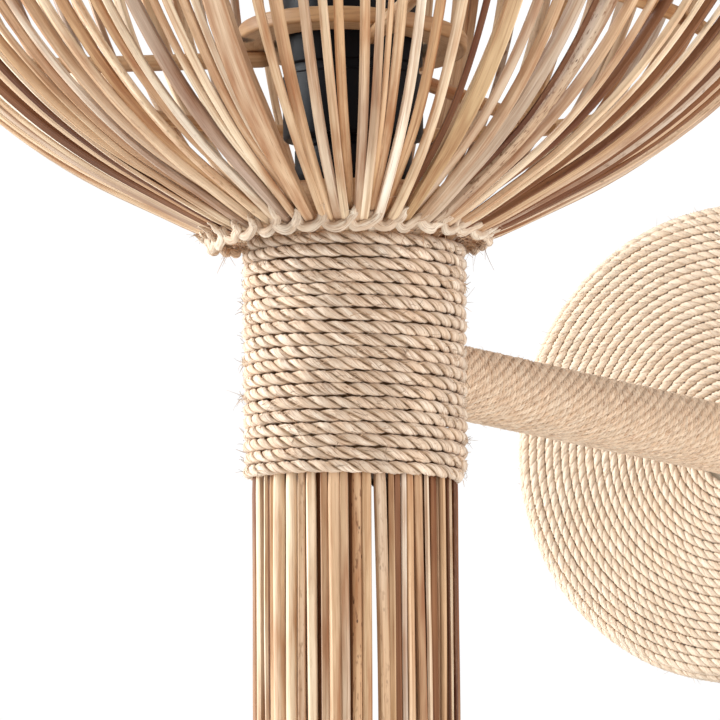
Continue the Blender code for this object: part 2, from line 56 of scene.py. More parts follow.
COLLAR_LOW, COLLAR_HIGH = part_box("rope_collar")
AXIS_X = (COLLAR_LOW.x + COLLAR_HIGH.x) / 2
AXIS_Y = (COLLAR_LOW.y + COLLAR_HIGH.y) / 2
COLLAR_RADIUS = (COLLAR_HIGH.x - COLLAR_LOW.x) / 2
COLLAR_TOP = COLLAR_HIGH.z + 2 * MM          # the sticks' outline starts here
COLLAR_BOTTOM = COLLAR_LOW.z
BOWL_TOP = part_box("bowl_sticks_01")[1].z
TAIL_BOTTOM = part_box("tail_sticks_1")[0].z
VIEW_ANGLE = radians(294.24)                 # the side of the lamp that faces the camera


def table(text):
    """The entries of a table, with their numbers as numbers."""
    return [tuple(cell if cell.isalpha() else float(cell) for cell in entry.split())
            for entry in text.split(",")]


# ---- colours and materials

def linear(*display):
    """0-255 display colour to linear."""
    return tuple(v / 12.92 if v <= 0.04045 else ((v + 0.055) / 1.055) ** 2.4
                 for v in (c / 255 for c in display))


class Nodes:
    """Small helper that adds nodes to one material."""

    def __init__(self, name):
        self.material = bpy.data.materials.new(name)
        self.material.use_nodes = True
        self.tree = self.material.node_tree
        self.shader = self.tree.nodes["Principled BSDF"]

    def add(self, kind, **settings):
        node = self.tree.nodes.new(kind)
        for key, value in settings.items():
            setattr(node, key, value)
        return node

    def link(self, a, b):
        self.tree.links.new(a, b)

    def attribute(self, name, output="Vector"):
        return self.add("ShaderNodeAttribute", attribute_name=name).outputs[output]

    def object_coords(self):
        return self.add("ShaderNodeTexCoord").outputs["Object"]

    def give(self, value, socket):
        """Set a socket to a number or a colour, or link it."""
        if isinstance(value, (int, float)):
            socket.default_value = value
        elif isinstance(value, tuple):
            socket.default_value = (*value, 1.0)
        else:
            self.link(value, socket)

    def scaled(self, vector, scale):
        node = self.add("ShaderNodeMapping")
        node.inputs["Scale"].default_value = scale
        self.link(vector, node.inputs["Vector"])
        return node.outputs["Vector"]

    def noise(self, vector, scale, detail=2.0, roughness=0.5):
        """Noise of 0 to 1. scale: how fine it is along each axis."""
        node = self.add("ShaderNodeTexNoise")
        for name, number in (("Scale", 1.0), ("Detail", detail), ("Roughness", roughness)):
            node.inputs[name].default_value = number
        self.link(self.scaled(vector, scale), node.inputs["Vector"])
        return node.outputs["Fac"]

    def dots(self, vector, scale):
        """Distance to the nearest of scattered points."""
        node = self.add("ShaderNodeTexVoronoi")
        node.inputs["Scale"].default_value = 1.0
        self.link(self.scaled(vector, scale), node.inputs["Vector"])
        return node.outputs["Distance"]

    def remap(self, value, low, high, to_low=0.0, to_high=1.0):
        node = self.add("ShaderNodeMapRange")
        self.link(value, node.inputs["Value"])
        for name, number in (("From Min", low), ("From Max", high), ("To Min", to_low), ("To Max", to_high)):
            node.inputs[name].default_value = number
        return node.outputs["Result"]

    def math(self, operation, a, b=0.0):
        node = self.add("ShaderNodeMath", operation=operation)
        for socket, value in zip(node.inputs, (a, b)):
            self.give(value, socket)
        return node.outputs["Value"]

    def mix(self, factor, a, b, blend="MIX"):
        node = self.add("ShaderNodeMix", data_type="RGBA", blend_type=blend)
        for name, value in (("Factor", factor), ("A", a), ("B", b)):
            self.give(value, next(s for s in node.inputs if s.name == name and s.enabled))
        return next(s for s in node.outputs if s.enabled)

    def over(self, colour, other, value, low, high, amount=1.0):
        """colour, which gives way to other by amount as value goes from low to high."""
        return self.mix(self.remap(value, low, high, 0.0, amount), colour, other)

    def bump(self, height, strength, distance):
        node = self.add("ShaderNodeBump")
        node.inputs["Strength"].default_value = strength
        node.inputs["Distance"].default_value = distance
        self.link(height, node.inputs["Height"])
        self.link(node.outputs["Normal"], self.shader.inputs["Normal"])

    def set(self, **values):
        for name, value in values.items():
            self.shader.inputs[name.replace("_", " ")].default_value = value

    def out(self, name, socket):
        self.link(socket, self.shader.inputs[name])


def fibre_material(name, light, dark, fleck, fleck_amount):
    """Twisted plant fibre: fine streaks along each strand, uneven colour, flecks. Display colours."""
    light, dark, fleck = linear(*light), linear(*dark), linear(*fleck)
    n = Nodes(name)
    grain = n.attribute("grain")
    tint = n.attribute("tint", "Color")
    fine = n.noise(grain, (2900, 2900, 190), 3.0, 0.6)
    streak = n.noise(grain, (1700, 1700, 130), 3.0, 0.7)
    patch = n.noise(grain, (300, 300, 110))
    colour = n.over(light, dark, patch, 0.36, 0.66, 0.8)
    colour = n.over(colour, dark, streak, 0.46, 0.66, 0.9)
    colour = n.over(colour, fleck, fine, 0.52, 0.70, 0.75)
    spots = n.noise(grain, (1500, 1500, 520))
    colour = n.over(colour, fleck, spots, 0.70 - fleck_amount, 0.77, 0.8)
    colour = n.mix(1.0, colour, tint, "MULTIPLY")
    n.out("Base Color", colour)
    n.out("Roughness", n.remap(patch, 0.3, 0.7, 0.60, 0.85))
    n.bump(n.math("ADD", streak, n.math("MULTIPLY", fine, 0.5)), 1.0, 0.00042)
    n.set(Sheen_Weight=0.12, Specular_IOR_Level=0.35)
    return n.material


def stick_material(name, streak_depth, shine):
    """Raw rattan: the stick's own colour, streaks and hairlines along it, mottled patches and pin holes.
    The tint's alpha says how speckled the stick is. On a split stick the tint also holds painted shade and
    highlight."""
    n = Nodes(name)
    grain = n.attribute("grain")
    tint = n.attribute("tint", "Color")
    speckled = n.attribute("tint", "Alpha")
    streak = n.noise(grain, (1300, 1300, 18), 3.0, 0.65)
    fine = n.noise(grain, (4200, 4200, 45), 2.0, 0.6)
    patch = n.noise(grain, (210, 210, 24), 3.0, 0.6)
    mottle = n.noise(grain, (1100, 1100, 330), 2.0, 0.6)
    dark = n.mix(1.0, tint, linear(186, 138, 98), "MULTIPLY")
    deep = n.mix(1.0, tint, linear(132, 88, 60), "MULTIPLY")
    pale = n.mix(1.0, tint, (1.16, 1.19, 1.25), "MULTIPLY")
    colour = n.mix(n.remap(patch, 0.30, 0.55, 0.8, 0.0), tint, dark)
    colour = n.over(colour, pale, patch, 0.54, 0.70, 0.9)
    colour = n.over(colour, dark, streak, 0.50, 0.70, streak_depth)
    colour = n.over(colour, pale, streak, 0.40, 0.28, 0.6)
    colour = n.over(colour, deep, fine, 0.60, 0.72, 0.5)
    flecked = n.math("MULTIPLY", n.remap(mottle, 0.56, 0.68), speckled)
    colour = n.mix(flecked, colour, linear(128, 88, 60))
    holes = n.dots(grain, (420, 420, 190))
    marked = n.math("MULTIPLY", n.remap(holes, 0.13, 0.08), speckled)
    colour = n.mix(marked, colour, linear(74, 44, 28))
    n.out("Base Color", colour)
    n.out("Roughness", n.remap(streak, 0.3, 0.7, shine, shine + 0.2))
    n.bump(n.math("ADD", streak, n.math("MULTIPLY", fine, 0.7)), 0.6, 0.00022)
    n.set(Specular_IOR_Level=0.28)
    return n.material


def wood_material(name, light, dark, scale):
    """Wood whose rings and grain run through the whole piece."""
    n = Nodes(name)
    place = n.object_coords()
    rings = n.noise(place, scale, 4.0, 0.6)
    pores = n.noise(place, tuple(6 * s for s in scale))
    colour = n.over(light, dark, rings, 0.34, 0.66)
    colour = n.over(colour, dark, pores, 0.60, 0.72, 0.5)
    n.out("Base Color", colour)
    n.out("Roughness", n.remap(rings, 0.3, 0.7, 0.45, 0.65))
    n.bump(pores, 0.25, 0.0001)
    return n.material


def plain_material(name, colour, roughness, spread, metallic, scale, bump):
    """Moulded, plated or painted finish: fine unevenness in roughness, colour and surface."""
    n = Nodes(name)
    place = n.object_coords()
    fine = n.noise(place, (scale, scale, scale), 3.0, 0.6)
    broad = n.noise(place, (60, 60, 60))
    worn = tuple(c * 0.82 for c in colour)
    n.out("Base Color", n.over(colour, worn, broad, 0.35, 0.7))
    n.out("Roughness", n.remap(fine, 0.3, 0.7, roughness - spread, roughness + spread))
    n.bump(fine, bump, 0.00006)
    n.set(Metallic=metallic)
    return n.material


def glass_material(name):
    """Clear glass with faint smudges."""
    n = Nodes(name)
    smudge = n.noise(n.object_coords(), (90, 90, 90), 3.0)
    n.out("Roughness", n.remap(smudge, 0.4, 0.75, 0.0, 0.06))
    n.set(Base_Color=(0.97, 0.98, 0.98, 1), IOR=1.45, Transmission_Weight=1.0)
    return n.material


ROPE = fibre_material("abaca_rope", (244, 226, 206), (217, 188, 160), (148, 100, 66), 0.03)
TWINE = fibre_material("abaca_twine", (244, 225, 203), (231, 205, 178), (200, 166, 134), 0.02)
LOOP_TWINE = fibre_material("loop_twine", (240, 224, 203), (206, 176, 148), (146, 104, 76), 0.04)
ARM_TWINE = fibre_material("arm_twine", (245, 222, 196), (226, 192, 160), (164, 114, 80), 0.08)
STICK = stick_material("rattan_stick", 0.55, 0.40)
CANE = stick_material("rattan_cane", 0.5, 0.32)
WOOD = wood_material("turned_wood", linear(206, 164, 118), linear(160, 114, 76), (60, 60, 600))
GLASS = glass_material("clear_glass")
# colour, roughness and its spread, metallic, how fine and how strong the unevenness is
FINISHES = {
    "zinc_steel": ((0.60, 0.60, 0.61), 0.34, 0.08, 1.0, 1400.0, 0.15),
    "enamelled_steel": ((0.70, 0.62, 0.50), 0.48, 0.06, 0.0, 700.0, 0.2),
    "brass": ((0.76, 0.55, 0.26), 0.30, 0.08, 1.0, 1200.0, 0.1),
    "white_nylon": ((0.83, 0.83, 0.80), 0.45, 0.05, 0.0, 1000.0, 0.1),
    "cable_sheath": ((0.78, 0.77, 0.74), 0.5, 0.05, 0.0, 900.0, 0.1),
    "black_phenolic": ((0.005, 0.0055, 0.008), 0.42, 0.05, 0.0, 2400.0, 0.12),
    "white_ceramic": ((0.86, 0.85, 0.82), 0.20, 0.05, 0.0, 500.0, 0.05),
    "nickel_cap": ((0.72, 0.71, 0.69), 0.24, 0.06, 1.0, 1500.0, 0.1),
    "filament": ((0.86, 0.64, 0.22), 0.5, 0.05, 0.0, 2500.0, 0.3),
}
# the materials that CAD pieces without a visual piece of their own get, by material slot
CARRIED = {name: plain_material(name, *finish) for name, finish in FINISHES.items()}
CARRIED.update(turned_wood=WOOD, clear_glass=GLASS, rattan_cane=CANE, abaca_twine=TWINE, abaca_rope=ROPE)
BLACK = CARRIED["black_phenolic"]
BLACK.node_tree.nodes["Principled BSDF"].inputs["Specular IOR Level"].default_value = 0.12


# ---- mesh building

class Shape:
    """The mesh of one piece, gathered strand by strand. grain holds each point's place in its straightened
    strand, so that streaks run along it, and tint its strand's colour times any painted shade of its sides."""

    def __init__(self):
        self.points, self.quads, self.triangles, self.grain, self.tint = [], [], [], [], []
        self.count = 0

    def sweep(self, path, normal, binormal, half_n, half_b, sides, tint, offset, profile=None, speckled=0.0,
              shade=None):
        """A closed bar along path (m, 3), its section half_n (m) along normal and half_b along binormal.
        offset: sets its grain apart from other strands'. profile: a factor on a round section's radius, or
        the section itself as (along normal, along binormal). shade: painted shade and highlight, a factor on
        the colour of each side."""
        m = len(path)
        angle = TAU * np.arange(sides) / sides
        c, s = np.cos(angle), np.sin(angle)
        if isinstance(profile, tuple):
            c, s = profile
        elif profile is not None:
            c, s = c * profile, s * profile
        across, along = half_n[:, None] * c, half_b[:, None] * s
        ring = path[:, None] + across[..., None] * normal[:, None] + along[..., None] * binormal[:, None]
        grain = np.stack([across + offset, along + 0.7 * offset,
                          np.broadcast_to(lengths(path)[:, None] + 1.3 * offset, across.shape)], -1)
        points = np.concatenate([ring.reshape(-1, 3), path[:1], path[-1:]])
        grain = np.concatenate([grain.reshape(-1, 3), grain[:1].mean(1), grain[-1:].mean(1)])
        i, j = sides * np.arange(m - 1)[:, None], np.arange(sides)
        k = (j + 1) % sides
        quads = np.stack([i + j, i + k, i + sides + k, i + sides + j], -1)
        first, last, end = m * sides, m * sides + 1, (m - 1) * sides
        caps = np.concatenate([np.stack([np.full(sides, first), k, j], -1),
                               np.stack([np.full(sides, last), end + j, end + k], -1)])
        tint = np.broadcast_to(tint, (m, 3))
        colours = np.concatenate([np.repeat(tint, sides, 0), tint[:1], tint[-1:]])
        # painted shade and highlight: each side's colour times shade, turned warmer where it is darker
        if shade is not None:
            value = np.tile(shade, m)[:, None]
            colours[:m * sides] *= np.concatenate([value, value ** 1.3, value ** 1.7], 1)
        self.points.append(points)
        self.grain.append(grain)
        self.tint.append(np.concatenate([colours, np.full((len(points), 1), speckled)], 1))
        self.quads.append(quads.reshape(-1, 4) + self.count)
        self.triangles.append(caps + self.count)
        self.count += len(points)

    def piece(self, name, material, slot, node, crisp=None):
        """Make the object, which stands for that CAD node. crisp: the angle above which an edge is sharp."""
        quads, triangles = np.concatenate(self.quads), np.concatenate(self.triangles)
        mesh = bpy.data.meshes.new(name)
        mesh.vertices.add(self.count)
        mesh.vertices.foreach_set("co", np.concatenate(self.points).astype(np.float32).ravel())
        corners = np.concatenate([quads.ravel(), triangles.ravel()]).astype(np.int32)
        mesh.loops.add(len(corners))
        mesh.loops.foreach_set("vertex_index", corners)
        starts = np.concatenate([np.arange(len(quads)) * 4, len(quads) * 4 + np.arange(len(triangles)) * 3])
        mesh.polygons.add(len(starts))
        mesh.polygons.foreach_set("loop_start", starts.astype(np.int32))
        mesh.update(calc_edges=True)
        mesh.polygons.foreach_set("use_smooth", np.ones(len(starts), bool))
        if crisp:
            mesh.set_sharp_from_angle(angle=radians(crisp))
        for label, kind, key, values in (("grain", "FLOAT_VECTOR", "vector", self.grain),
                                         ("tint", "FLOAT_COLOR", "color", self.tint)):
            attribute = mesh.attributes.new(label, kind, "POINT")
            attribute.data.foreach_set(key, np.concatenate(values).astype(np.float32).ravel())
        dress(name, mesh, material, slot, "sconce", node)


def added(name, data):
    """A new object in the scene."""
    made = bpy.data.objects.new(name, data)
    bpy.context.scene.collection.objects.link(made)
    return made


def dress(name, mesh, material, slot, body, *nodes):
    """A piece of this mesh and material that rides on its body in place of those CAD nodes."""
    mesh.materials.append(material)
    piece = added(name, mesh)
    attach(piece, body)
    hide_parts(*nodes)


def unit(vectors):
    """The same directions at length 1."""
    return vectors / np.linalg.norm(vectors, axis=-1, keepdims=True)


def frames(path, reference):
    """Normal near reference, and binormal, at each point of a path."""
    tangent = unit(np.gradient(path, axis=0))
    normal = unit(reference - (reference * tangent).sum(1, keepdims=True) * tangent)
    return normal, np.cross(tangent, normal)


def lengths(path):
    """Distance along a path at each of its points."""
    return np.concatenate([[0.0], np.cumsum(np.linalg.norm(np.diff(path, axis=0), axis=1))])


def wander(s, wavelength, rng):
    """A smooth wandering value of about -1 to 1 along s: the mean of three waves."""
    total = np.zeros_like(s)
    for _ in range(3):
        total += np.sin(TAU * s / (wavelength * rng.uniform(0.6, 1.6)) + rng.uniform(0, TAU))
    return total / 3


def fibre_tints(s, rng, spread, wavelength=0.03):
    """Per-point tint of a fibre strand: a multiplier near white that drifts along it."""
    value = 1.0 + spread * wander(s, wavelength, rng)
    warm = 0.5 * spread * wander(s, wavelength * 1.7, rng)
    return np.stack([value, value * (1 - 0.25 * np.abs(warm)), value * (1 - 0.55 * np.abs(warm))], 1)


def twisted(shape, path, reference, ply_n, ply_b, offset_n, offset_b, lay, rng, sides, spread, wobble=0.25,
            uneven=0.07, crevice=0.8, ragged=0.06):
    """A two-ply rope along path. ply_n, ply_b: half sizes of a ply; offset_n, offset_b: its distance from
    the rope's middle, along reference and across it; lay: length of one twist. spread, wobble, uneven,
    ragged: unevenness of its colour, twist, thickness and section. crevice: strength of the painted shade
    between plies."""
    normal, binormal = frames(path, reference)
    s = lengths(path)
    turn = TAU * s / lay + wobble * wander(s, lay * 7, rng)
    profile = 1 + ragged * rng.standard_normal(sides)
    outward = np.cos(TAU * np.arange(sides) / sides)
    # painted shade: each ply's colour is darkened on the sides that face the other ply, by up to crevice
    shade = np.clip((1 - crevice) + crevice * (outward + 0.35) / 0.65, 1 - crevice, 1)
    for ply in range(2):
        a = turn + pi * ply
        swell = 1 + uneven * wander(s, lay * 1.1, rng)
        radial = normal * np.cos(a)[:, None] + binormal * np.sin(a)[:, None]
        place = path + normal * (offset_n * np.cos(a))[:, None] + binormal * (offset_b * np.sin(a))[:, None]
        # the section's flat side faces the rope's middle all the way round
        n, b = frames(place, radial)
        shape.sweep(place, n, b, ply_n * swell, ply_b * swell, sides, fibre_tints(s, rng, spread),
                    rng.uniform(0, 9), profile, shade=shade)


HAIR_STEPS = 6


def hair(shape, start, direction, length, radius, rng, tint, curl=0.55):
    """One loose fibre that leaves start in a direction and bends away by about curl times its length."""
    t = np.linspace(0, 1, HAIR_STEPS)[:, None]
    bend = rng.standard_normal(3) * curl
    path = start + length * (t * direction + t * t * bend)
    reference = np.tile(unit(np.cross(direction, rng.standard_normal(3))), (HAIR_STEPS, 1))
    normal, binormal = frames(path, reference)
    half = radius * (1 - 0.7 * t[:, 0])
    shape.sweep(path, normal, binormal, half, half, 3, tint, rng.uniform(0, 9))


def round_axis(angle, radius, z):
    """Points round the lamp's axis, and the directions out from it."""
    out = np.stack([np.cos(angle), np.sin(angle), np.zeros_like(angle)], -1)
    points = np.stack([AXIS_X + radius * np.cos(angle), AXIS_Y + radius * np.sin(angle),
                       np.broadcast_to(z, np.shape(angle))], -1)
    return points, out


# ---- rope round the neck and the tail

ROPE_LAY = 11.0 * MM
ROPE_STEPS = 15                # mesh steps per lay
ROPE_HALF = 1.72 * MM          # half of the rope's height in the winding
ROPE_SURFACE = 1.4 * MM        # from the rope's middle to where its fibres start
SHORT_HAIRS, LONG_HAIRS = 30, 70   # per row of the winding: standing up, and lying along the rope


def tuft(shape, centre, out, count, reach, rng, tone):
    """Frayed fibres that stand up from one point."""
    for _ in range(count):
        start = centre + 0.5 * MM * rng.standard_normal(3)
        direction = unit(out * 0.5 + rng.standard_normal(3))
        hair(shape, start, direction, reach * rng.uniform(0.4, 1.2), 0.10 * MM, rng,
             np.array([1.0, 0.9, 0.8]) * tone * rng.uniform(0.8, 1.2))


def rope_winding(name, node, start, first, last, rows, tufts, seed):
    """Rope wound downward in rows. start: degrees from the view where it begins; first, last: heights of its
    top and bottom rows as seen from there; tufts: how many frayed places it has."""
    rng = np.random.default_rng(seed)
    radius = COLLAR_RADIUS - 1.6 * MM
    pitch = (first - last) / (rows - 1)
    turns = rows - 1 + (85 - start) / 360
    total = int(turns * TAU * radius / ROPE_LAY * ROPE_STEPS)
    angle = np.linspace(0, turns * TAU, total)
    s = angle * radius
    z = first - pitch * (angle / TAU + start / 360)
    z = z + 0.24 * MM * wander(s, 0.13, rng) + 0.16 * MM * wander(s, 0.037, rng)
    looser = np.clip(1 - angle / (3.5 * TAU), 0, 1)
    out = radius + 0.14 * MM * wander(s, 0.06, rng) + 0.28 * MM * looser * wander(s, 0.04, rng)
    end = np.clip((s[-1] - s) / (6 * MM), 0, 1)
    path, reference = round_axis(angle + VIEW_ANGLE + radians(start), out - (1 - end) * 1.5 * MM, z)
    shape = Shape()
    twisted(shape, path, reference, 0.95 * MM, 1.20 * MM, 0.66 * MM, 0.82 * MM, ROPE_LAY, rng, 14, 0.13, 1.3,
            0.20, 0.40, 0.10)
    for _ in range(rows * SHORT_HAIRS):
        k = rng.integers(0, total - 1)
        direction = unit(reference[k] * 0.1 + 0.9 * rng.standard_normal(3))
        tint = np.array([1.0, 0.90, 0.79]) * rng.uniform(0.5, 1.05)
        hair(shape, path[k] + reference[k] * ROPE_SURFACE, direction, rng.uniform(0.5, 1.3) * MM,
             rng.uniform(0.06, 0.13) * MM, rng, tint, 0.3)
    for _ in range(rows * LONG_HAIRS):
        k = rng.integers(0, total - 2)
        step = path[k + 1] - path[k]
        along = unit(step + 0.35 * np.linalg.norm(step) * rng.standard_normal(3))
        start = path[k] + reference[k] * rng.uniform(1.3, 1.55) * MM
        start[2] += rng.uniform(-1.3, 1.3) * MM
        tint = np.array([1.0, 0.88, 0.75]) * rng.uniform(0.45, 1.05)
        hair(shape, start, along, rng.uniform(2.0, 4.0) * MM, rng.uniform(0.08, 0.16) * MM, rng, tint, 0.12)
    for _ in range(tufts):
        k = rng.integers(0, total - 1)
        tuft(shape, path[k] + reference[k] * 1.2 * MM, reference[k], 7, 2.6 * MM, rng, rng.uniform(0.5, 0.9))
    tuft(shape, path[0], reference[0], 14, 4 * MM, rng, 0.8)
    tuft(shape, path[-1] + reference[-1] * 1.5 * MM, reference[-1], 10, 3 * MM, rng, 0.8)
    shape.piece(name, ROPE, "abaca_rope", node)


rope_winding("neck_rope", "rope_collar", -72, COLLAR_HIGH.z - 0.3 * MM, COLLAR_BOTTOM + 0.8 * MM, 19, 46, 11)
BIND_LOW, BIND_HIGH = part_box("tail_binding")
rope_winding("tail_rope", "tail_binding", -100, BIND_HIGH.z - ROPE_HALF, BIND_LOW.z + ROPE_HALF, 7, 8, 12)


# ---- sticks

TONES = {name: linear(*display) for name, *display in table("""
    cream 240 217 186, straw 224 194 158, tan 210 174 137, honey 202 160 116, beige 206 182 158,
    grey 188 166 146, mauve 176 148 128, brown 146 98 62, umber 104 62 34, white 240 225 205,
    yellow 208 175 133""")}
COMMON = ["cream", "straw", "tan", "tan", "honey", "beige", "beige", "grey", "mauve", "brown"]
CRISP = 34                     # degrees: the edges of split sticks stay sharp, round ones are smooth


def round_section(rng):
    """An uneven round section: factors for the normal and binormal directions."""
    angle = TAU * np.arange(12) / 12
    size = 1 + 0.05 * np.cos(2 * angle + rng.uniform(0, TAU)) + 0.02 * rng.standard_normal(12)
    return np.cos(angle) * size, np.sin(angle) * size


def split_section(rng):
    """The section of a split stick: a flat-sided bar, leaning a little, with chamfers e."""
    n, b = rng.uniform(0.72, 0.95), rng.uniform(0.86, 1.0)
    lean = rng.uniform(-0.16, 0.16)
    e = 0.22
    across = np.array([n, n, n - e, -n + e, -n, -n, -n + e, n - e])
    along = np.array([-b + e, b - e, b, b, b - e, -b + e, -b, -b])
    return across, along + lean * across


def stick(shape, path, reference, half, tone, rng, second=None, split=None, speckled=None):
    """One stick. second: a tone that takes over along parts of it, as where the peel is left on; split and
    speckled (0 to 1) are drawn at random where they aren't given."""
    normal, binormal = frames(path, reference)
    s = lengths(path)
    half = half * (1 + 0.05 * wander(s, 0.12, rng))
    half[0] *= 0.8
    half[-1] *= 0.86
    base = np.array(TONES[tone]) * rng.uniform(0.92, 1.06)
    other = np.array(TONES[second]) if second else base * rng.uniform(0.8, 1.1)
    share = np.clip(0.45 + 0.9 * wander(s, 0.14, rng), 0, 1)[:, None]
    colours = base * (1 - 0.7 * share) + other * 0.7 * share
    chance = rng.uniform()
    if split is None:
        split = chance < 0.55
    if speckled is None:
        speckled = rng.choice([0.0, 0.15, 0.4, 0.9], p=[0.62, 0.24, 0.10, 0.04])
    section = split_section(rng) if split else round_section(rng)
    twist = rng.uniform(-0.5, 0.5) + 0.35 * wander(s, 0.3, rng)
    c, d = np.cos(twist)[:, None], np.sin(twist)[:, None]
    # on a split stick each side's colour is scaled at random by 0.84 to 1.14: painted shade and highlight
    # across its flat faces
    shape.sweep(path, normal * c + binormal * d, binormal * c - normal * d,
                half * rng.uniform(0.85, 1.0), half, len(section[0]), colours, rng.uniform(0, 9), section,
                speckled, rng.uniform(0.84, 1.14, len(section[0])) if split else None)


# the bowl's outline: a straight flank, then one arc
FLANK_START = 39.1 * MM
FLANK_END = 66 * MM
FLANK_SLOPE = radians(25.5)
LAST_SLOPE = radians(84)
ARC_RADIUS = 165 * MM
FLANK_RISE = (FLANK_END - FLANK_START) * tan(FLANK_SLOPE)
FLANK_STEPS, ARC_STEPS = 5, 30
# the sticks' roots bend down into the neck: radius, and height over the outline's start
ROOT_R = np.array([26.4, 27.2, 29.6, 33.6]) * MM
ROOT_H = np.array([-6.0, -1.6, 1.0, 1.7]) * MM
ROOT_LENGTH = 14 * MM


def outline(slope):
    """Radius and height of the arc's outside where it has this slope."""
    return (FLANK_END + ARC_RADIUS * (np.sin(slope) - sin(FLANK_SLOPE)),
            FLANK_RISE + ARC_RADIUS * (cos(FLANK_SLOPE) - np.cos(slope)))


def bowl_line(top):
    """Radius, height and slope of the bowl's outside, from the neck to a rim at height top."""
    arc = np.linspace(FLANK_SLOPE, LAST_SLOPE, ARC_STEPS)
    arc_r, arc_h = outline(arc)
    flank = np.linspace(0, 1, FLANK_STEPS + 1)[:-1]
    rim_r = arc_r[-1] + (top - arc_h[-1]) / tan(LAST_SLOPE)
    return (np.concatenate([FLANK_START + (FLANK_END - FLANK_START) * flank, arc_r, [rim_r]]),
            np.concatenate([FLANK_RISE * flank, arc_h, [top]]),
            np.concatenate([np.full(FLANK_STEPS, FLANK_SLOPE), arc, [LAST_SLOPE]]))


def bowl_stick(shape, tip, root, half, layer, tone, rng, second=None):
    """One stick from the neck to the rim. layer: 0 for one that lies outside at the neck, 1 inside."""
    top = BOWL_TOP - COLLAR_TOP + rng.uniform(-3.0, 0.5) * MM
    r, h, slope = bowl_line(top)
    full = np.clip((r - FLANK_START) / (45 * MM), 0, 1)
    neck_half = min(half, 1.45 * MM)
    width = neck_half + (half - neck_half) * full
    depth = rng.uniform(0.0, 0.9)
    inward = width + 0.3 * MM + (layer * (2.5 - 1.9 * full) + depth * full) * MM
    s = lengths(np.stack([r, h], 1))
    inward = inward + 0.30 * MM * full * wander(s, 0.20, rng)
    inward = inward + 0.7 * MM * np.exp((FLANK_START - r) / (5 * MM))
    r = r - inward * np.sin(slope)
    h = h + inward * np.cos(slope)
    r = np.concatenate([ROOT_R, r])
    h = np.concatenate([ROOT_H + (width[0] - 1.2 * MM) + layer * 1.8 * MM, h])
    width = np.pad(width, (len(ROOT_R), 0), "edge")
    full = np.pad(full, (len(ROOT_R), 0))
    s = lengths(np.stack([r, h], 1))
    angle = np.radians(root + (tip - root) * s / s[-1]) + 0.55 * MM * full * wander(s, 0.22, rng) / r
    path, out = round_axis(angle, r, COLLAR_TOP + h)
    tilt = np.pad(slope, (len(ROOT_R), 0), "edge")
    reference = out * np.sin(tilt)[:, None] - np.array([0, 0, 1.0]) * np.cos(tilt)[:, None]
    stick(shape, path, reference, width, tone, rng, second)


# sticks on the camera's side: angle at the rim and at the neck, half width in mm, layer, tones
FRONT_STICKS = table("""
    212.6 216 1.3 0 beige mauve, 215.6 218.6 1.1 1 mauve tan, 217.6 220.6 1 0 cream beige,
    219.8 222.8 0.8 0 white cream, 222.6 224.4 2.2 0 umber brown, 227.4 229.4 2.2 0 tan beige,
    230.6 232 1.6 0 umber umber, 233.4 233.2 0.8 0 cream white, 235.6 235.3 1.5 1 tan honey,
    238.4 238.3 1.1 0 cream straw, 241.2 240.4 1.7 1 tan brown, 243.7 244.4 1.2 0 white mauve,
    246.4 247.6 1.8 1 tan beige, 249 251.4 1.2 0 cream tan, 251.6 253.6 1.7 1 honey tan,
    254.1 257.4 1.3 0 cream straw, 256.3 260 1.6 1 tan honey, 258.2 262.8 1.1 0 white cream,
    261.2 267 2.1 0 mauve grey, 264.6 269.4 1.3 1 cream tan, 267 271.4 1.2 0 cream straw,
    269.6 273.4 1.2 1 tan brown, 271.6 274.4 1.15 1 cream white, 274.6 276.4 3.3 0 tan beige,
    280.6 282.6 1.4 0 straw tan, 283.3 284.4 1.8 0 tan straw, 286.9 288.3 1.4 0 tan white,
    289.3 291 1.25 0 cream tan, 292.6 292.6 1.3 1 honey tan, 295.5 296.2 1.5 0 straw mauve,
    297.8 298.6 1.1 0 cream brown, 299 300.2 0.85 1 tan honey, 300.7 301.6 1.5 1 tan straw,
    303.1 304.2 1.4 0 white cream, 305.5 307 1.5 1 honey tan, 307.9 310.4 1.4 0 straw cream,
    312.1 312.7 0.95 1 umber brown, 316.6 315.6 2.4 0 yellow straw, 320.2 319 1.5 1 beige tan,
    322.9 322.2 1.4 0 tan beige, 325.7 325.4 2.1 0 beige grey, 328.4 327.8 0.8 1 umber umber,
    330.9 330.4 2 0 beige tan, 334.4 334.4 1.7 0 tan grey, 337.2 337.6 1.1 0 cream tan,
    340.2 341.2 1.9 1 umber brown, 343.5 344.6 1.4 0 straw tan, 345.6 347.2 0.8 0 cream straw,
    348 349.6 2.3 0 brown umber, 351.2 352.8 0.9 1 cream tan, 353 355 1.4 0 umber brown,
    355.4 357.6 1.6 0 tan straw, 358.6 361 1.9 0 tan beige, 361.8 364.2 1.2 0 umber brown,
    364.8 367.2 1.6 0 beige mauve, 367.9 370.2 1 0 brown umber, 370.6 372.9 1.5 1 tan mauve,
    373.2 375.6 1.2 0 brown umber, 376.4 378.6 1.6 0 beige tan, 379.6 381.8 1.3 1 umber beige""")
BOWL_GROUPS = 10


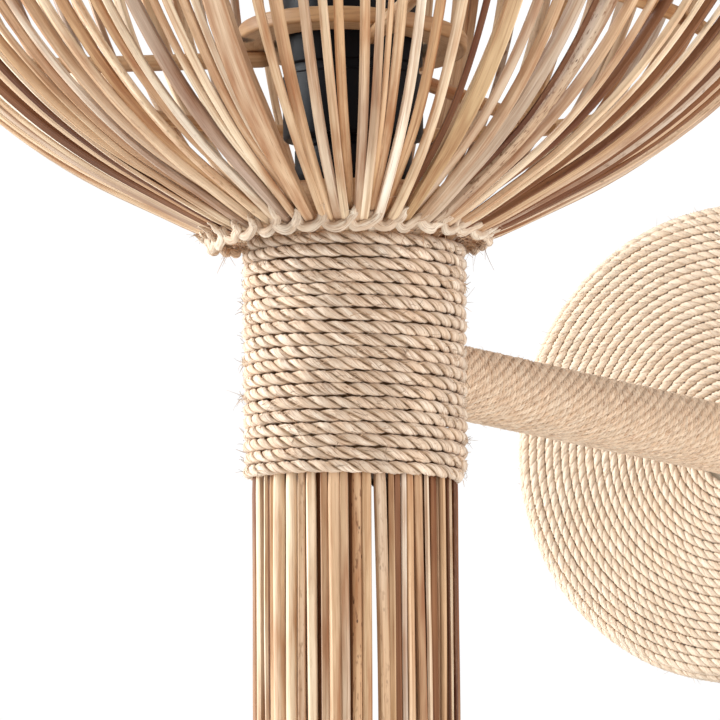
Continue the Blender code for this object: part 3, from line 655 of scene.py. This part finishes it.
def bowl_sticks():
    """All sticks of the bowl: the listed ones, then random ones round the back. Returns their list."""
    rng = np.random.default_rng(21)
    sticks = list(FRONT_STICKS)
    angle, layer = FRONT_STICKS[-1][0] + 2.8, 1
    last = FRONT_STICKS[0][0] + 360 - 1.8
    while angle < last:
        wide = rng.uniform()
        half = rng.uniform(*((1.0, 1.5) if wide < 0.62 else (1.5, 1.9) if wide < 0.9 else (2.0, 2.5)))
        tip = angle + rng.uniform(-0.5, 0.5)
        tones = rng.choice(COMMON, 2)
        sticks.append((tip, tip + rng.uniform(-2.2, 2.2), half, layer, *tones))
        angle += 1.15 * half + rng.uniform(1.0, 1.7)
        layer = 1 - layer
    shapes = [Shape() for _ in range(BOWL_GROUPS)]
    for tip, root, half, layer, tone, second in sticks:
        group = round(root / (360 / BOWL_GROUPS)) % BOWL_GROUPS
        bowl_stick(shapes[group], tip, root, half * MM, layer, tone, rng, second)
    for g, shape in enumerate(shapes):
        shape.piece(f"bowl_canes_{g + 1:02d}", STICK, "rattan_stick", f"bowl_sticks_{g + 1:02d}", crisp=CRISP)
    return sticks


BOWL_STICKS = bowl_sticks()


# ---- the tail

TAIL_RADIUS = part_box("tail_sticks_1")[1].y - AXIS_Y
TAIL_GROUPS = 6
# sticks on the camera's side: degrees from the view, half width in mm, tones, sideways drift in mm, depth in
# mm, 1 for split and 0 for round, and how speckled
FRONT_TAIL = table("""
    -88 1.5 brown honey 0 -0.3 0 0, -75 1.3 straw cream 0 -0.1 0 0, -64.5 0.8 cream white 0 0.2 1 0,
    -60.5 1.2 honey tan 0 1.4 1 0.1, -51.8 1.75 cream cream 0 0 0 0, -41 1.65 cream straw 0 0 0 0,
    -33 1.1 tan beige 0 0.3 1 0.5, -27 1.5 cream tan 0.3 0 0 0.1, -23.4 1.1 umber umber 0.3 2.6 1 0.4,
    -18.9 1.1 tan beige 0.2 0.2 1 0.1, -12.8 1.72 tan straw 0.1 0 1 0, -6.4 0.98 tan beige 0 0.1 1 0,
    -3.2 1 umber brown 0 2.2 1 0.3, 0.5 1.35 tan honey 0 0.1 0 0.9, 6.6 1.42 straw honey -0.5 0 0 0.1,
    14.4 1.62 tan beige 0.8 0 1 0.35, 20.6 0.95 tan honey 0.3 0.2 1 0, 25.4 1.1 brown umber 0.1 1.2 1 0.1,
    28.9 0.75 grey white 0.2 0.6 1 0, 33 1.1 tan honey 0.1 0.1 1 0.1, 38.6 1.35 tan brown 1.4 0 1 0.1,
    44.4 0.6 cream white 0.9 0.1 1 0, 52 1.45 brown umber 0.2 0.6 1 0, 60 1.05 tan honey 0 0 0 0,
    71 1 umber brown 0.3 1 1 0.2, 68 0.4 cream cream 0.6 -0.1 1 0, 79.5 1 umber umber 0 0.1 1 1,
    89 0.7 brown tan 0 0 0 0""")
# daylight shows through the tail at these distances in mm right of its middle, as the camera sees it
TAIL_GAPS = [5.1, 13.9]
GAP_ROOM = 1.9
TAIL_STEPS = 24


def tail_sticks():
    """The tail's sticks: the listed ones, random ones round the back, and a second layer behind them."""
    rng = np.random.default_rng(31)
    hidden = []
    angle = 95.0
    while angle < 360 - 88:
        half = rng.uniform(1.0, 1.8)
        tones = rng.choice(COMMON, 2)
        hidden.append((angle, half, *tones, rng.uniform(-0.4, 0.4), rng.uniform(0, 0.6), None, None))
        angle += 4.4 * half + rng.uniform(0.2, 1.0)
    # the layer behind gets brown, umber and tan: partly the sticks' own colour, partly painted shade for the
    # gaps between the outer sticks
    for angle in np.arange(-177.0, 180, 7.2):
        tones = rng.choice(["brown", "umber", "tan", "brown"], 2)
        hidden.append((angle, 1.35, *tones, 0.0, 3.3, None, None))
    hidden = [entry for entry in hidden if all(
        abs(TAIL_RADIUS / MM * sin(radians(entry[0])) - gap) > GAP_ROOM for gap in TAIL_GAPS)]
    shapes = [Shape() for _ in range(TAIL_GROUPS)]
    for angle, half, tone, second, drift, depth, split, speckled in FRONT_TAIL + hidden:
        angle += degrees(VIEW_ANGLE)
        group = round((angle - 90) / (360 / TAIL_GROUPS)) % TAIL_GROUPS
        t = np.linspace(0, 1, TAIL_STEPS)
        low = TAIL_BOTTOM + rng.uniform(0, 2.2) * MM
        z = COLLAR_BOTTOM + 5 * MM + (low - COLLAR_BOTTOM - 5 * MM) * t
        s = COLLAR_BOTTOM - z
        held = np.exp(-((z - (BIND_LOW.z + BIND_HIGH.z) / 2) / (30 * MM)) ** 2)
        loose = np.clip(s / (60 * MM), 0, 1) * (1 - 0.8 * held)
        side = (drift * MM * np.clip(s / (70 * MM), 0, 1.4) + 0.25 * MM * wander(s, 0.14, rng)) * (1 - held)
        radius = TAIL_RADIUS - (half + depth) * MM + 0.2 * MM * loose * wander(s, 0.12, rng)
        path, reference = round_axis(radians(angle) + side / TAIL_RADIUS, radius, z)
        stick(shapes[group], path, reference, np.full(TAIL_STEPS, half * MM), tone, rng, second, split,
              speckled)
    for g, shape in enumerate(shapes):
        shape.piece(f"tail_canes_{g + 1}", STICK, "rattan_stick", f"tail_sticks_{g + 1}", crisp=CRISP)


tail_sticks()


# ---- twine loops above the neck's rope

def spline(keys, count):
    """Smooth path of count points through keys (k, 3): Catmull-Rom."""
    padded = np.concatenate([2 * keys[:1] - keys[1:2], keys, 2 * keys[-1:] - keys[-2:-1]])
    t = np.linspace(0, len(keys) - 1, count)
    i = np.minimum(t.astype(int), len(keys) - 2)
    u = (t - i)[:, None]
    a, b, c, d = (padded[i + k] for k in range(4))
    return 0.5 * (2 * b + (c - a) * u + (2 * a - 5 * b + 4 * c - d) * u ** 2
                  + (3 * b - a - 3 * c + d) * u ** 3)


LOOPS = 36
LOOP_RADIUS = 37.0 * MM
LOOP_CENTRE = (AXIS_X - 1.5 * MM * 0.91, AXIS_Y - 1.5 * MM * 0.41)   # a little left of the axis in the view
# one loop's path: share of its width sideways, mm outward, mm up
LOOP_KEYS = [(-0.56, 3.4, 3.2), (-0.53, 2.6, 1.6), (-0.36, 1.9, -0.6), (-0.02, 1.9, -1.0), (0.28, 2.3, 0.2),
             (0.46, 4.2, 2.0), (0.55, 7.0, 3.6), (0.60, 10.0, 5.0), (0.62, 12.6, 6.1)]
LOOP_STEPS = 26


def twine_loops():
    """A row of twine loops on the rope's top, each with its right end bent up and outward, and fibres."""
    rng = np.random.default_rng(41)
    shape = Shape()
    step = TAU / LOOPS
    for i in range(LOOPS):
        middle = i * step + rng.uniform(-0.16, 0.16) * step
        width = step * rng.uniform(0.95, 1.2)
        facing = cos(middle - VIEW_ANGLE)
        left = exp(-((remainder(middle - VIEW_ANGLE, TAU) + 1.25) / 0.5) ** 2)
        reach = rng.uniform(0.6, 1.1) * (0.25 + 0.75 * abs(facing))
        keys = []
        for side, out, up in LOOP_KEYS:
            if up > 0 and side > 0:
                out, up = 2.3 + (out - 2.3) * reach, up * reach + 0.8 * left
            a = middle + side * width
            r = LOOP_RADIUS + out * MM
            z = COLLAR_TOP + (0.7 + up - 2.2 * left) * MM
            keys.append((LOOP_CENTRE[0] + r * cos(a), LOOP_CENTRE[1] + r * sin(a), z))
        keys = np.array(keys) + 0.25 * MM * rng.standard_normal((len(keys), 3))
        path = spline(keys, LOOP_STEPS)
        reference = path - np.array([AXIS_X, AXIS_Y, COLLAR_TOP + 9 * MM])
        normal, binormal = frames(path, unit(reference))
        s = lengths(path)
        t = np.linspace(0, 1, LOOP_STEPS)
        taper = np.clip(np.minimum(0.55 + 5 * t, 0.22 + 2.6 * (1 - t)), 0, 1)
        half = rng.uniform(1.15, 1.5) * MM * taper * (1 + 0.12 * wander(s, 0.006, rng))
        tint = fibre_tints(s, rng, 0.08, 0.01) * rng.uniform(0.86, 1.06)
        angle = TAU * np.arange(14) / 14
        ridged = 1 + 0.07 * np.cos(5 * angle + rng.uniform(0, TAU)) + 0.05 * rng.standard_normal(14)
        shape.sweep(path, normal, binormal, half * 0.72, half, 14, tint, rng.uniform(0, 9), ridged)
        for _ in range(6):
            k = rng.integers(LOOP_STEPS - 8, LOOP_STEPS)
            direction = unit(path[-1] - path[-4] + 0.003 * rng.standard_normal(3))
            hair(shape, path[k], direction, rng.uniform(1.5, 3.5) * MM * (0.4 + 0.6 * abs(facing)), 0.11 * MM,
                 rng, np.array([1.0, 0.95, 0.88]) * rng.uniform(0.7, 1.0))
        for _ in range(9):
            a = middle + rng.uniform(-0.6, 0.6) * step
            r = LOOP_RADIUS - rng.uniform(-1.0, 7.0) * MM
            start = np.array([AXIS_X + r * cos(a), AXIS_Y + r * sin(a), COLLAR_TOP - 0.6 * MM])
            along = np.array([-sin(a), cos(a), -0.15]) * rng.choice([-1, 1])
            direction = unit(along + 0.45 * rng.standard_normal(3))
            hair(shape, start, direction, rng.uniform(2.0, 6.0) * MM, rng.uniform(0.09, 0.17) * MM, rng,
                 np.array([0.86, 0.66, 0.5]) * rng.uniform(0.6, 1.2))
    shape.piece("neck_loops", LOOP_TWINE, "abaca_twine", "neck_twining")


twine_loops()


# ---- twined rows round the bowl

ROW_REACH = 2.7 * MM           # of a cord to either side of the sticks' middles
ROW_DEPTH = 2.0 * MM           # of those middles under the bowl's outline
ROW_STEPS = 8                  # mesh steps from one crossing to the next


def sticks_at(slope):
    """Sorted angles of the sticks where they cross the bowl's outline at this slope."""
    r, h, _ = bowl_line(BOWL_TOP - COLLAR_TOP)
    s = lengths(np.stack([r, h], 1))
    share = (np.interp(outline(slope)[1], h, s) + ROOT_LENGTH) / (s[-1] + ROOT_LENGTH)
    return sorted((radians(root + (tip - root) * share)) % TAU for tip, root, *_ in BOWL_STICKS)


def twined_row(name, row, slope, seed):
    """Two cords that cross between each two sticks, one going outside them while the other goes inside."""
    rng = np.random.default_rng(seed)
    at = sticks_at(slope)
    gaps = [(a + b) / 2 for a, b in zip(at, at[1:] + [at[0] + TAU])][::2]
    if len(gaps) % 2:
        gaps = gaps[:-1]
    gaps.append(gaps[0] + TAU)
    radius, height = outline(slope)
    radius -= ROW_DEPTH * sin(slope)
    height += ROW_DEPTH * cos(slope)
    t = np.arange(ROW_STEPS) / ROW_STEPS
    for strand, node in enumerate(("outer", "inner")):
        angle, lift, rise = [], [], []
        for k in range(len(gaps) - 1):
            sign = 1 if (k + strand) % 2 else -1
            angle.append(gaps[k] + (gaps[k + 1] - gaps[k]) * t)
            lift.append(sign * ROW_REACH * np.sin(pi * t))
            rise.append(sign * 0.9 * MM * np.cos(pi * t))
        angle, lift, rise = (np.concatenate(v) for v in (angle, lift, rise))
        out_r = radius + lift * sin(slope) + rise * cos(slope)
        z = COLLAR_TOP + height - lift * cos(slope) + rise * sin(slope)
        path, reference = round_axis(angle, out_r, z)
        path = np.concatenate([path, path[:1]])
        reference = np.concatenate([reference, reference[:1]])
        shape = Shape()
        twisted(shape, path, reference, 0.75 * MM, 0.85 * MM, 0.55 * MM, 0.6 * MM, 7.5 * MM, rng, 7, 0.06)
        shape.piece(f"{name}_{node}_cord", TWINE, "abaca_twine", f"{row}_{node}")


twined_row("middle_row", "twining_row", radians(65), 51)
twined_row("top_row", "rim_row", radians(78), 52)


# ---- twine on the canopy and the arm

CANOPY_LOW, CANOPY_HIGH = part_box("canopy_twine")
CANOPY_RADIUS = CANOPY_HIGH.x
ARM_LOW, ARM_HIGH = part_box("arm_twine")
ARM_RADIUS = ARM_HIGH.x
CANOPY_STEPS, ARM_STEPS = 9, 8  # mesh steps per lay


def round_arm(angle, radius, y):
    """Points round the arm's axis, and the directions out from it."""
    out = np.stack([np.cos(angle), np.zeros_like(angle), np.sin(angle)], 1)
    path = out * radius[:, None]
    path[:, 1] = y
    return path, out


def fuzz(shape, path, out, rng, count, lift, longest, radius, colour, darkest):
    """Short fibres that stand up from random places on a cord."""
    for _ in range(count):
        k = rng.integers(0, len(path) - 1)
        direction = unit(out[k] + 0.8 * rng.standard_normal(3))
        hair(shape, path[k] + out[k] * lift, direction, rng.uniform(0.8, longest) * MM, radius, rng,
             np.array(colour) * rng.uniform(darkest, 1.0))


def canopy_coil():
    """Twine coiled over the canopy's flat front from the arm outward, round its corner and along its rim."""
    rng = np.random.default_rng(61)
    half = 1.4 * MM
    pitch = 2.7 * MM
    lay = 7.6 * MM
    front, edge = CANOPY_LOW.y + half, CANOPY_RADIUS - half
    first, corner = ARM_RADIUS + 1.5 * MM, 4.2 * MM
    flat = edge - corner - first
    bend = corner * pi / 2
    side = (CANOPY_HIGH.y - 1.6 * MM) - (front + corner)
    total = flat + bend + side
    mean_radius = first + flat * 0.6
    count = int(total / pitch * TAU * mean_radius / lay * CANOPY_STEPS)
    # evenly spaced along the coil: its turns grow with the radius
    fine = np.linspace(0, total, 4000)
    radius = np.where(fine < flat, first + fine, edge)
    walk = np.concatenate([[0], np.cumsum((radius[1:] + radius[:-1]) / 2 * np.diff(fine) / pitch * TAU)])
    s = np.linspace(0, walk[-1], count)
    along = np.interp(s, walk, fine)
    turn = np.clip((along - flat) / corner, 0, pi / 2)
    r = first + np.minimum(along, flat) + corner * np.sin(turn) + 0.10 * MM * wander(s, 0.04, rng)
    y = front + corner * (1 - np.cos(turn)) + np.maximum(0, along - flat - bend)
    y = y + 0.10 * MM * wander(s, 0.03, rng)
    path, out = round_arm(TAU * along / pitch, r, y)
    reference = out * np.sin(turn)[:, None] - np.array([0, 1.0, 0]) * np.cos(turn)[:, None]
    shape = Shape()
    twisted(shape, path, reference, 0.92 * MM, 1.18 * MM, 0.40 * MM, 0.62 * MM, lay, rng, 7, 0.05,
            crevice=0.0)
    fuzz(shape, path, reference, rng, 420, 1.2 * MM, 2.4, 0.07 * MM, [1.0, 0.95, 0.88], 0.75)
    shape.piece("canopy_coil", TWINE, "abaca_twine", "canopy_twine")


def arm_coil():
    """Twine wound round the arm, from the canopy to the neck."""
    rng = np.random.default_rng(62)
    half = 1.12 * MM
    pitch = 2.0 * MM
    lay = 5.2 * MM
    radius = ARM_RADIUS - half
    long = ARM_HIGH.y - ARM_LOW.y - 2 * half
    turns = long / pitch
    count = int(turns * TAU * radius / lay * ARM_STEPS)
    t = np.linspace(0, 1, count)
    angle = TAU * turns * t
    s = angle * radius
    r = radius + 0.14 * MM * wander(s, 0.03, rng)
    y = ARM_HIGH.y - half - long * t + 0.12 * MM * wander(s, 0.045, rng)
    path, out = round_arm(angle, r, y)
    shape = Shape()
    twisted(shape, path, out, 0.62 * MM, 0.76 * MM, 0.44 * MM, 0.46 * MM, lay, rng, 6, 0.10, crevice=0.2)
    fuzz(shape, path, out, rng, 260, 0.9 * MM, 2.2, 0.06 * MM, [1.0, 0.9, 0.8], 0.65)
    shape.piece("arm_coil", ARM_TWINE, "abaca_twine", "arm_twine")


canopy_coil()
arm_coil()


# ---- the frame in the bowl

RING_LOW, RING_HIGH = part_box("shade_ring")
RING_OUTER = (RING_HIGH.x - RING_LOW.x) / 2
RING_INNER = 21.5 * MM
RING_HALF = 2.25 * MM          # half its thickness
RING_Z = (RING_LOW.z + RING_HIGH.z) / 2
FRAME_TILT = radians(6.2)
ROD_HALF = 2.25 * MM
ROD_STEPS = 28
HOOP_STEPS = 144


def turned(name, profile, material, slot, body, node, steps=96, closed=True, tilt=0.0,
           centre=(AXIS_X, AXIS_Y, 0)):
    """A smooth turned piece. profile: (radius, z), outer side downward, then the bore. closed: whether the
    profile's last point joins its first."""
    count = len(profile)
    angles = [TAU * i / steps for i in range(steps)]
    points = [(r * cos(a), r * sin(a), z) for a in angles for r, z in profile]
    faces = []
    for i in range(steps):
        k = (i + 1) % steps
        for j in range(count if closed else count - 1):
            n = (j + 1) % count
            faces.append([i * count + j, i * count + n, k * count + n, k * count + j])
    mesh = bpy.data.meshes.new(name)
    mesh.from_pydata(points, [], faces)
    mesh.validate()
    bm = bmesh.new()
    bm.from_mesh(mesh)
    bmesh.ops.remove_doubles(bm, verts=bm.verts, dist=1e-7)
    bmesh.ops.dissolve_degenerate(bm, edges=bm.edges, dist=1e-8)
    bmesh.ops.recalc_face_normals(bm, faces=bm.faces)
    bm.to_mesh(mesh)
    bm.free()
    mesh.transform(Matrix.Translation(centre) @ Matrix.Rotation(tilt, 4, "X"))
    mesh.shade_smooth()
    mesh.set_sharp_from_angle(angle=radians(40))
    dress(name, mesh, material, slot, body, node)


def rounded(corners, radius):
    """A closed outline with each corner rounded in four steps."""
    corners = [Vector(c) for c in corners]
    result = []
    for i, corner in enumerate(corners):
        before, after = corners[i - 1], corners[(i + 1) % len(corners)]
        cut = min(radius, (before - corner).length * 0.45, (after - corner).length * 0.45)
        a = corner + (before - corner).normalized() * cut
        b = corner + (after - corner).normalized() * cut
        for t in (0.0, 0.25, 0.5, 0.75, 1.0):
            result.append(tuple((1 - t) ** 2 * a + 2 * t * (1 - t) * corner + t * t * b))
    return result


def ring_material(name):
    """Cane bent flat into a ring: its browner peel is on the outer edge, and a dark spot on one side."""
    n = Nodes(name)
    place = n.object_coords()
    split = n.add("ShaderNodeSeparateXYZ")
    n.link(place, split.inputs["Vector"])
    x = n.math("SUBTRACT", split.outputs["X"], AXIS_X)
    y = n.math("SUBTRACT", split.outputs["Y"], AXIS_Y)
    radius = n.math("SQRT", n.math("ADD", n.math("MULTIPLY", x, x), n.math("MULTIPLY", y, y)))
    unrolled = n.add("ShaderNodeCombineXYZ")
    n.link(n.math("MULTIPLY", n.math("ARCTAN2", y, x), 0.03), unrolled.inputs["X"])
    n.link(radius, unrolled.inputs["Y"])
    n.link(split.outputs["Z"], unrolled.inputs["Z"])
    around = unrolled.outputs["Vector"]
    streak = n.noise(around, (90, 1400, 1400), 3.0, 0.6)
    patch = n.noise(around, (60, 200, 200), 2.0)
    colour = n.over(linear(232, 198, 158), linear(206, 164, 122), streak, 0.4, 0.7)
    peel = n.over(linear(204, 160, 114), linear(176, 130, 88), patch, 0.35, 0.65)
    peel = n.over(peel, linear(150, 104, 68), streak, 0.5, 0.7, 0.5)
    colour = n.over(colour, peel, radius, RING_OUTER - 1.6 * MM, RING_OUTER - 0.6 * MM)
    # a dark, ragged spot near the outer edge, 80 degrees round from the side that faces the camera
    spot = n.add("ShaderNodeVectorMath", operation="DISTANCE")
    n.link(place, spot.inputs[0])
    dark_spot_angle = VIEW_ANGLE - radians(80)
    spot.inputs[1].default_value = (AXIS_X + (RING_OUTER - 1 * MM) * cos(dark_spot_angle),
                                    AXIS_Y + (RING_OUTER - 1 * MM) * sin(dark_spot_angle), RING_Z - 1.5 * MM)
    near = n.math("ADD", spot.outputs["Value"], n.math("MULTIPLY", streak, 3 * MM))
    colour = n.over(colour, linear(66, 40, 22), near, 5.2 * MM, 3.6 * MM, 0.9)
    n.out("Base Color", colour)
    n.out("Roughness", n.remap(streak, 0.3, 0.7, 0.42, 0.6))
    n.bump(streak, 0.4, 0.0002)
    return n.material


turned("lamp_ring", rounded([(RING_OUTER, RING_HALF), (RING_OUTER, -RING_HALF), (RING_INNER, -RING_HALF),
                             (RING_INNER, RING_HALF)], 1.1 * MM),
       ring_material("ring_cane"), "rattan_cane", "sconce", "shade_ring", 120, tilt=-FRAME_TILT,
       centre=(AXIS_X, AXIS_Y, RING_Z))


def cane_rod(name, node, angle, seed, tone, second):
    """A cane rod along the middle line of its CAD node, with a knot and a slight bow."""
    rng = np.random.default_rng(seed)
    low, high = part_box(node)
    along = np.array([cos(angle), sin(angle), -sin(angle) * tan(FRAME_TILT)])
    along /= np.linalg.norm(along)
    axis = int(np.argmax(np.abs(along)))
    reach = ((high[axis] - low[axis]) / 2 - ROD_HALF * sqrt(1 - along[axis] ** 2)) / abs(along[axis])
    t = np.linspace(-1, 1, ROD_STEPS)[:, None]
    path = np.array((low + high) / 2) + along * reach * t
    s = lengths(path)
    path[:, 2] += 0.15 * MM * wander(s, 0.09, rng) * (1 - t[:, 0] ** 2)
    knot = 1 + 0.08 * np.exp(-((s - 0.62 * s[-1]) / (1.6 * MM)) ** 2)
    reference = np.tile([0, 0, 1.0], (ROD_STEPS, 1))
    shape = Shape()
    stick(shape, path, reference, ROD_HALF * knot, tone, rng, second, False, 0.0)
    shape.piece(name, CANE, "rattan_cane", node)


for side, bearing, seed, second in (("left", 188, 71, "tan"), ("rear", 79, 72, "tan"),
                                    ("front", 307, 73, "straw")):
    cane_rod(f"{side}_rod", f"rod_{side}", radians(bearing), seed, "honey", second)


def hoop():
    """The cane hoop at the rods' ends, tilted with the ring."""
    rng = np.random.default_rng(74)
    low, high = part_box("shade_hoop")
    centre = (low + high) / 2
    radius = (high.x - low.x) / 2 - ROD_HALF
    angle = np.linspace(0, TAU, HOOP_STEPS + 1)
    s = angle * radius
    x = centre.x + radius * np.cos(angle)
    y = centre.y + radius * np.sin(angle) * cos(FRAME_TILT)
    z = centre.z - radius * np.sin(angle) * sin(FRAME_TILT)
    path = np.stack([x, y, z], 1)
    reference = np.stack([np.cos(angle), np.sin(angle), np.zeros_like(angle)], 1)
    normal, binormal = frames(path, reference)
    shape = Shape()
    half = 2.15 * MM * (1 + 0.03 * wander(s, 0.15, rng))
    half[-1] = half[0]
    shape.sweep(path, normal, binormal, half, half, 12, TONES["honey"], 3.0,
                1 + 0.02 * rng.standard_normal(12))
    shape.piece("cane_hoop", CANE, "rattan_cane", "shade_hoop")


hoop()


# ---- lampholder and bulb

def above(profile):
    """From mm, with heights over COLLAR_TOP."""
    return [(r * MM, COLLAR_TOP + h * MM) for r, h in profile]


turned("holder_cap", above(table("""
    5.3 19, 14.3 19, 14.3 30.3, 15.3 30.3, 15.3 26.4, 15.6 25.9, 16 25.6, 16.3 25.1, 16.3 18.4, 16.15 17.6,
    15.2 15.9, 14.7 15.5, 14.2 15.4, 5.3 15.4""")), BLACK, "black_phenolic", "sconce", "lampholder_cap")
turned("holder_body", above(table("""
    17.9 73, 19 73, 19.3 72.9, 19.5 72.5, 19.5 49.3, 19.4 49.05, 19.15 48.9, 18.6 48.7, 18.5 48.5,
    18.5 46.5, 18.6 46.3, 19.15 46.15, 19.4 45.95, 19.5 45.7, 19.5 29.2, 19.35 28.6, 18.9 28.1, 18.6 28,
    15.7 28, 15.7 30, 17.9 30""")), BLACK, "black_phenolic", "sconce", "lampholder_body")
turned("wood_base", above(table("""
    12 15, 23.2 15, 24.4 14.7, 25.2 14, 25.5 13, 25.5 4.8, 25.2 3.8, 24.4 3.1, 23.2 2.8,
    5.3 2.8, 5.3 15""")), WOOD, "turned_wood", "sconce", "shade_base")

GLOBE_HEIGHT, GLOBE_LOW = 107.0, 62.0   # mm over COLLAR_TOP: the globe's centre and the glass's lower end
GLOBE_STEPS = 40


def globe(radius, neck):
    """Half the outline of a globe from its top down to its neck, in mm."""
    sweep = pi - asin(neck / radius)
    points = []
    for i in range(GLOBE_STEPS + 1):
        a = sweep * i / GLOBE_STEPS
        points.append((radius * sin(a), GLOBE_HEIGHT + radius * cos(a)))
    points[-1] = (neck, points[-1][1])
    return points + [(neck, GLOBE_LOW)]


turned("bulb_globe", above(globe(30.0, 12.0) + globe(29.1, 11.1)[::-1]), GLASS, "clear_glass", "bulb",
       "bulb_glass", closed=False)

SLOTS = {entry["node"]: entry["material_slot"] for entry in frame["record"]["subparts"]}
for node, piece in frame["nodes"].items():
    if SLOTS[node] in CARRIED:
        piece.data.materials.clear()
        piece.data.materials.append(CARRIED[SLOTS[node]])


# ---- stage, light and camera

def disc(name, radius, z, colour, sides=64):
    """A flat matt disc."""
    mesh = bpy.data.meshes.new(name)
    points = [(radius * cos(TAU * i / sides), radius * sin(TAU * i / sides), z) for i in range(sides)]
    mesh.from_pydata(points, [], [list(range(sides))])
    n = Nodes(name)
    n.set(Base_Color=(*colour, 1), Roughness=0.9)
    mesh.materials.append(n.material)
    return added(name, mesh)


disc("floor", 12.0, -1.30, (0.93, 0.93, 0.92))

world = bpy.data.worlds.new("studio")
bpy.context.scene.world = world
world.use_nodes = True
tree = world.node_tree
# the camera sees a white backdrop, the lamp gets a weaker, warmer light
backdrop, ambient = tree.nodes["Background"], tree.nodes.new("ShaderNodeBackground")
for node, colour, strength in ((backdrop, (1.0, 1.0, 1.0, 1.0), 1.02),
                               (ambient, (1.0, 0.975, 0.94, 1.0), 0.54)):
    node.inputs["Color"].default_value = colour
    node.inputs["Strength"].default_value = strength
seen = tree.nodes.new("ShaderNodeLightPath")
choice = tree.nodes.new("ShaderNodeMixShader")
tree.links.new(seen.outputs["Is Camera Ray"], choice.inputs["Fac"])
tree.links.new(ambient.outputs["Background"], choice.inputs[1])
tree.links.new(backdrop.outputs["Background"], choice.inputs[2])
tree.links.new(choice.outputs["Shader"], tree.nodes["World Output"].inputs["Surface"])

CENTRE = Vector((AXIS_X, AXIS_Y, 0.0))


def softbox(name, offset, size, power, colour=(1, 1, 1)):
    """A square light at that offset from the lamp's centre, aimed at it."""
    lamp = bpy.data.lights.new(name, "AREA")
    lamp.shape = "SQUARE"
    lamp.size = size
    lamp.energy = power
    lamp.color = colour
    made = added(name, lamp)
    made.location = CENTRE + Vector(offset)
    made.rotation_euler = (CENTRE - made.location).to_track_quat("-Z", "Y").to_euler()


softbox("key", (-1.44, -0.47, 0.40), 1.0, 50, (0.94, 0.98, 1.0))
softbox("fill", (1.38, -0.15, 0.10), 1.2, 14)
softbox("bounce", (0.40, -0.65, -1.15), 1.2, 8)

# the photograph's camera
AZIMUTH, PITCH, ROLL = radians(24.24), radians(5.777), radians(-0.405)
DISTANCE = 2.41453
PICTURE, SENSOR = 720, 36.0    # pixels and mm across
FOCAL = 8707.58                # pixels
forward = Vector((-sin(AZIMUTH) * cos(PITCH), cos(AZIMUTH) * cos(PITCH), sin(PITCH)))
flat_right = forward.cross(Vector((0, 0, 1))).normalized()
flat_up = flat_right.cross(forward)
right = flat_right * cos(ROLL) + flat_up * sin(ROLL)
up = flat_up * cos(ROLL) - flat_right * sin(ROLL)
target = CENTRE + right * 1.453 * MM - up * 0.093 * MM
camera_data = bpy.data.cameras.new("camera")
camera_data.sensor_width = SENSOR
camera_data.lens = FOCAL / PICTURE * SENSOR
camera_data.clip_start, camera_data.clip_end = 0.05, 100.0
camera = added("camera", camera_data)
basis = Matrix((right, up, -forward)).transposed().to_4x4()
camera.matrix_world = Matrix.Translation(target - forward * DISTANCE) @ basis
bpy.context.scene.camera = camera
bpy.context.scene.view_settings.view_transform = "Standard"
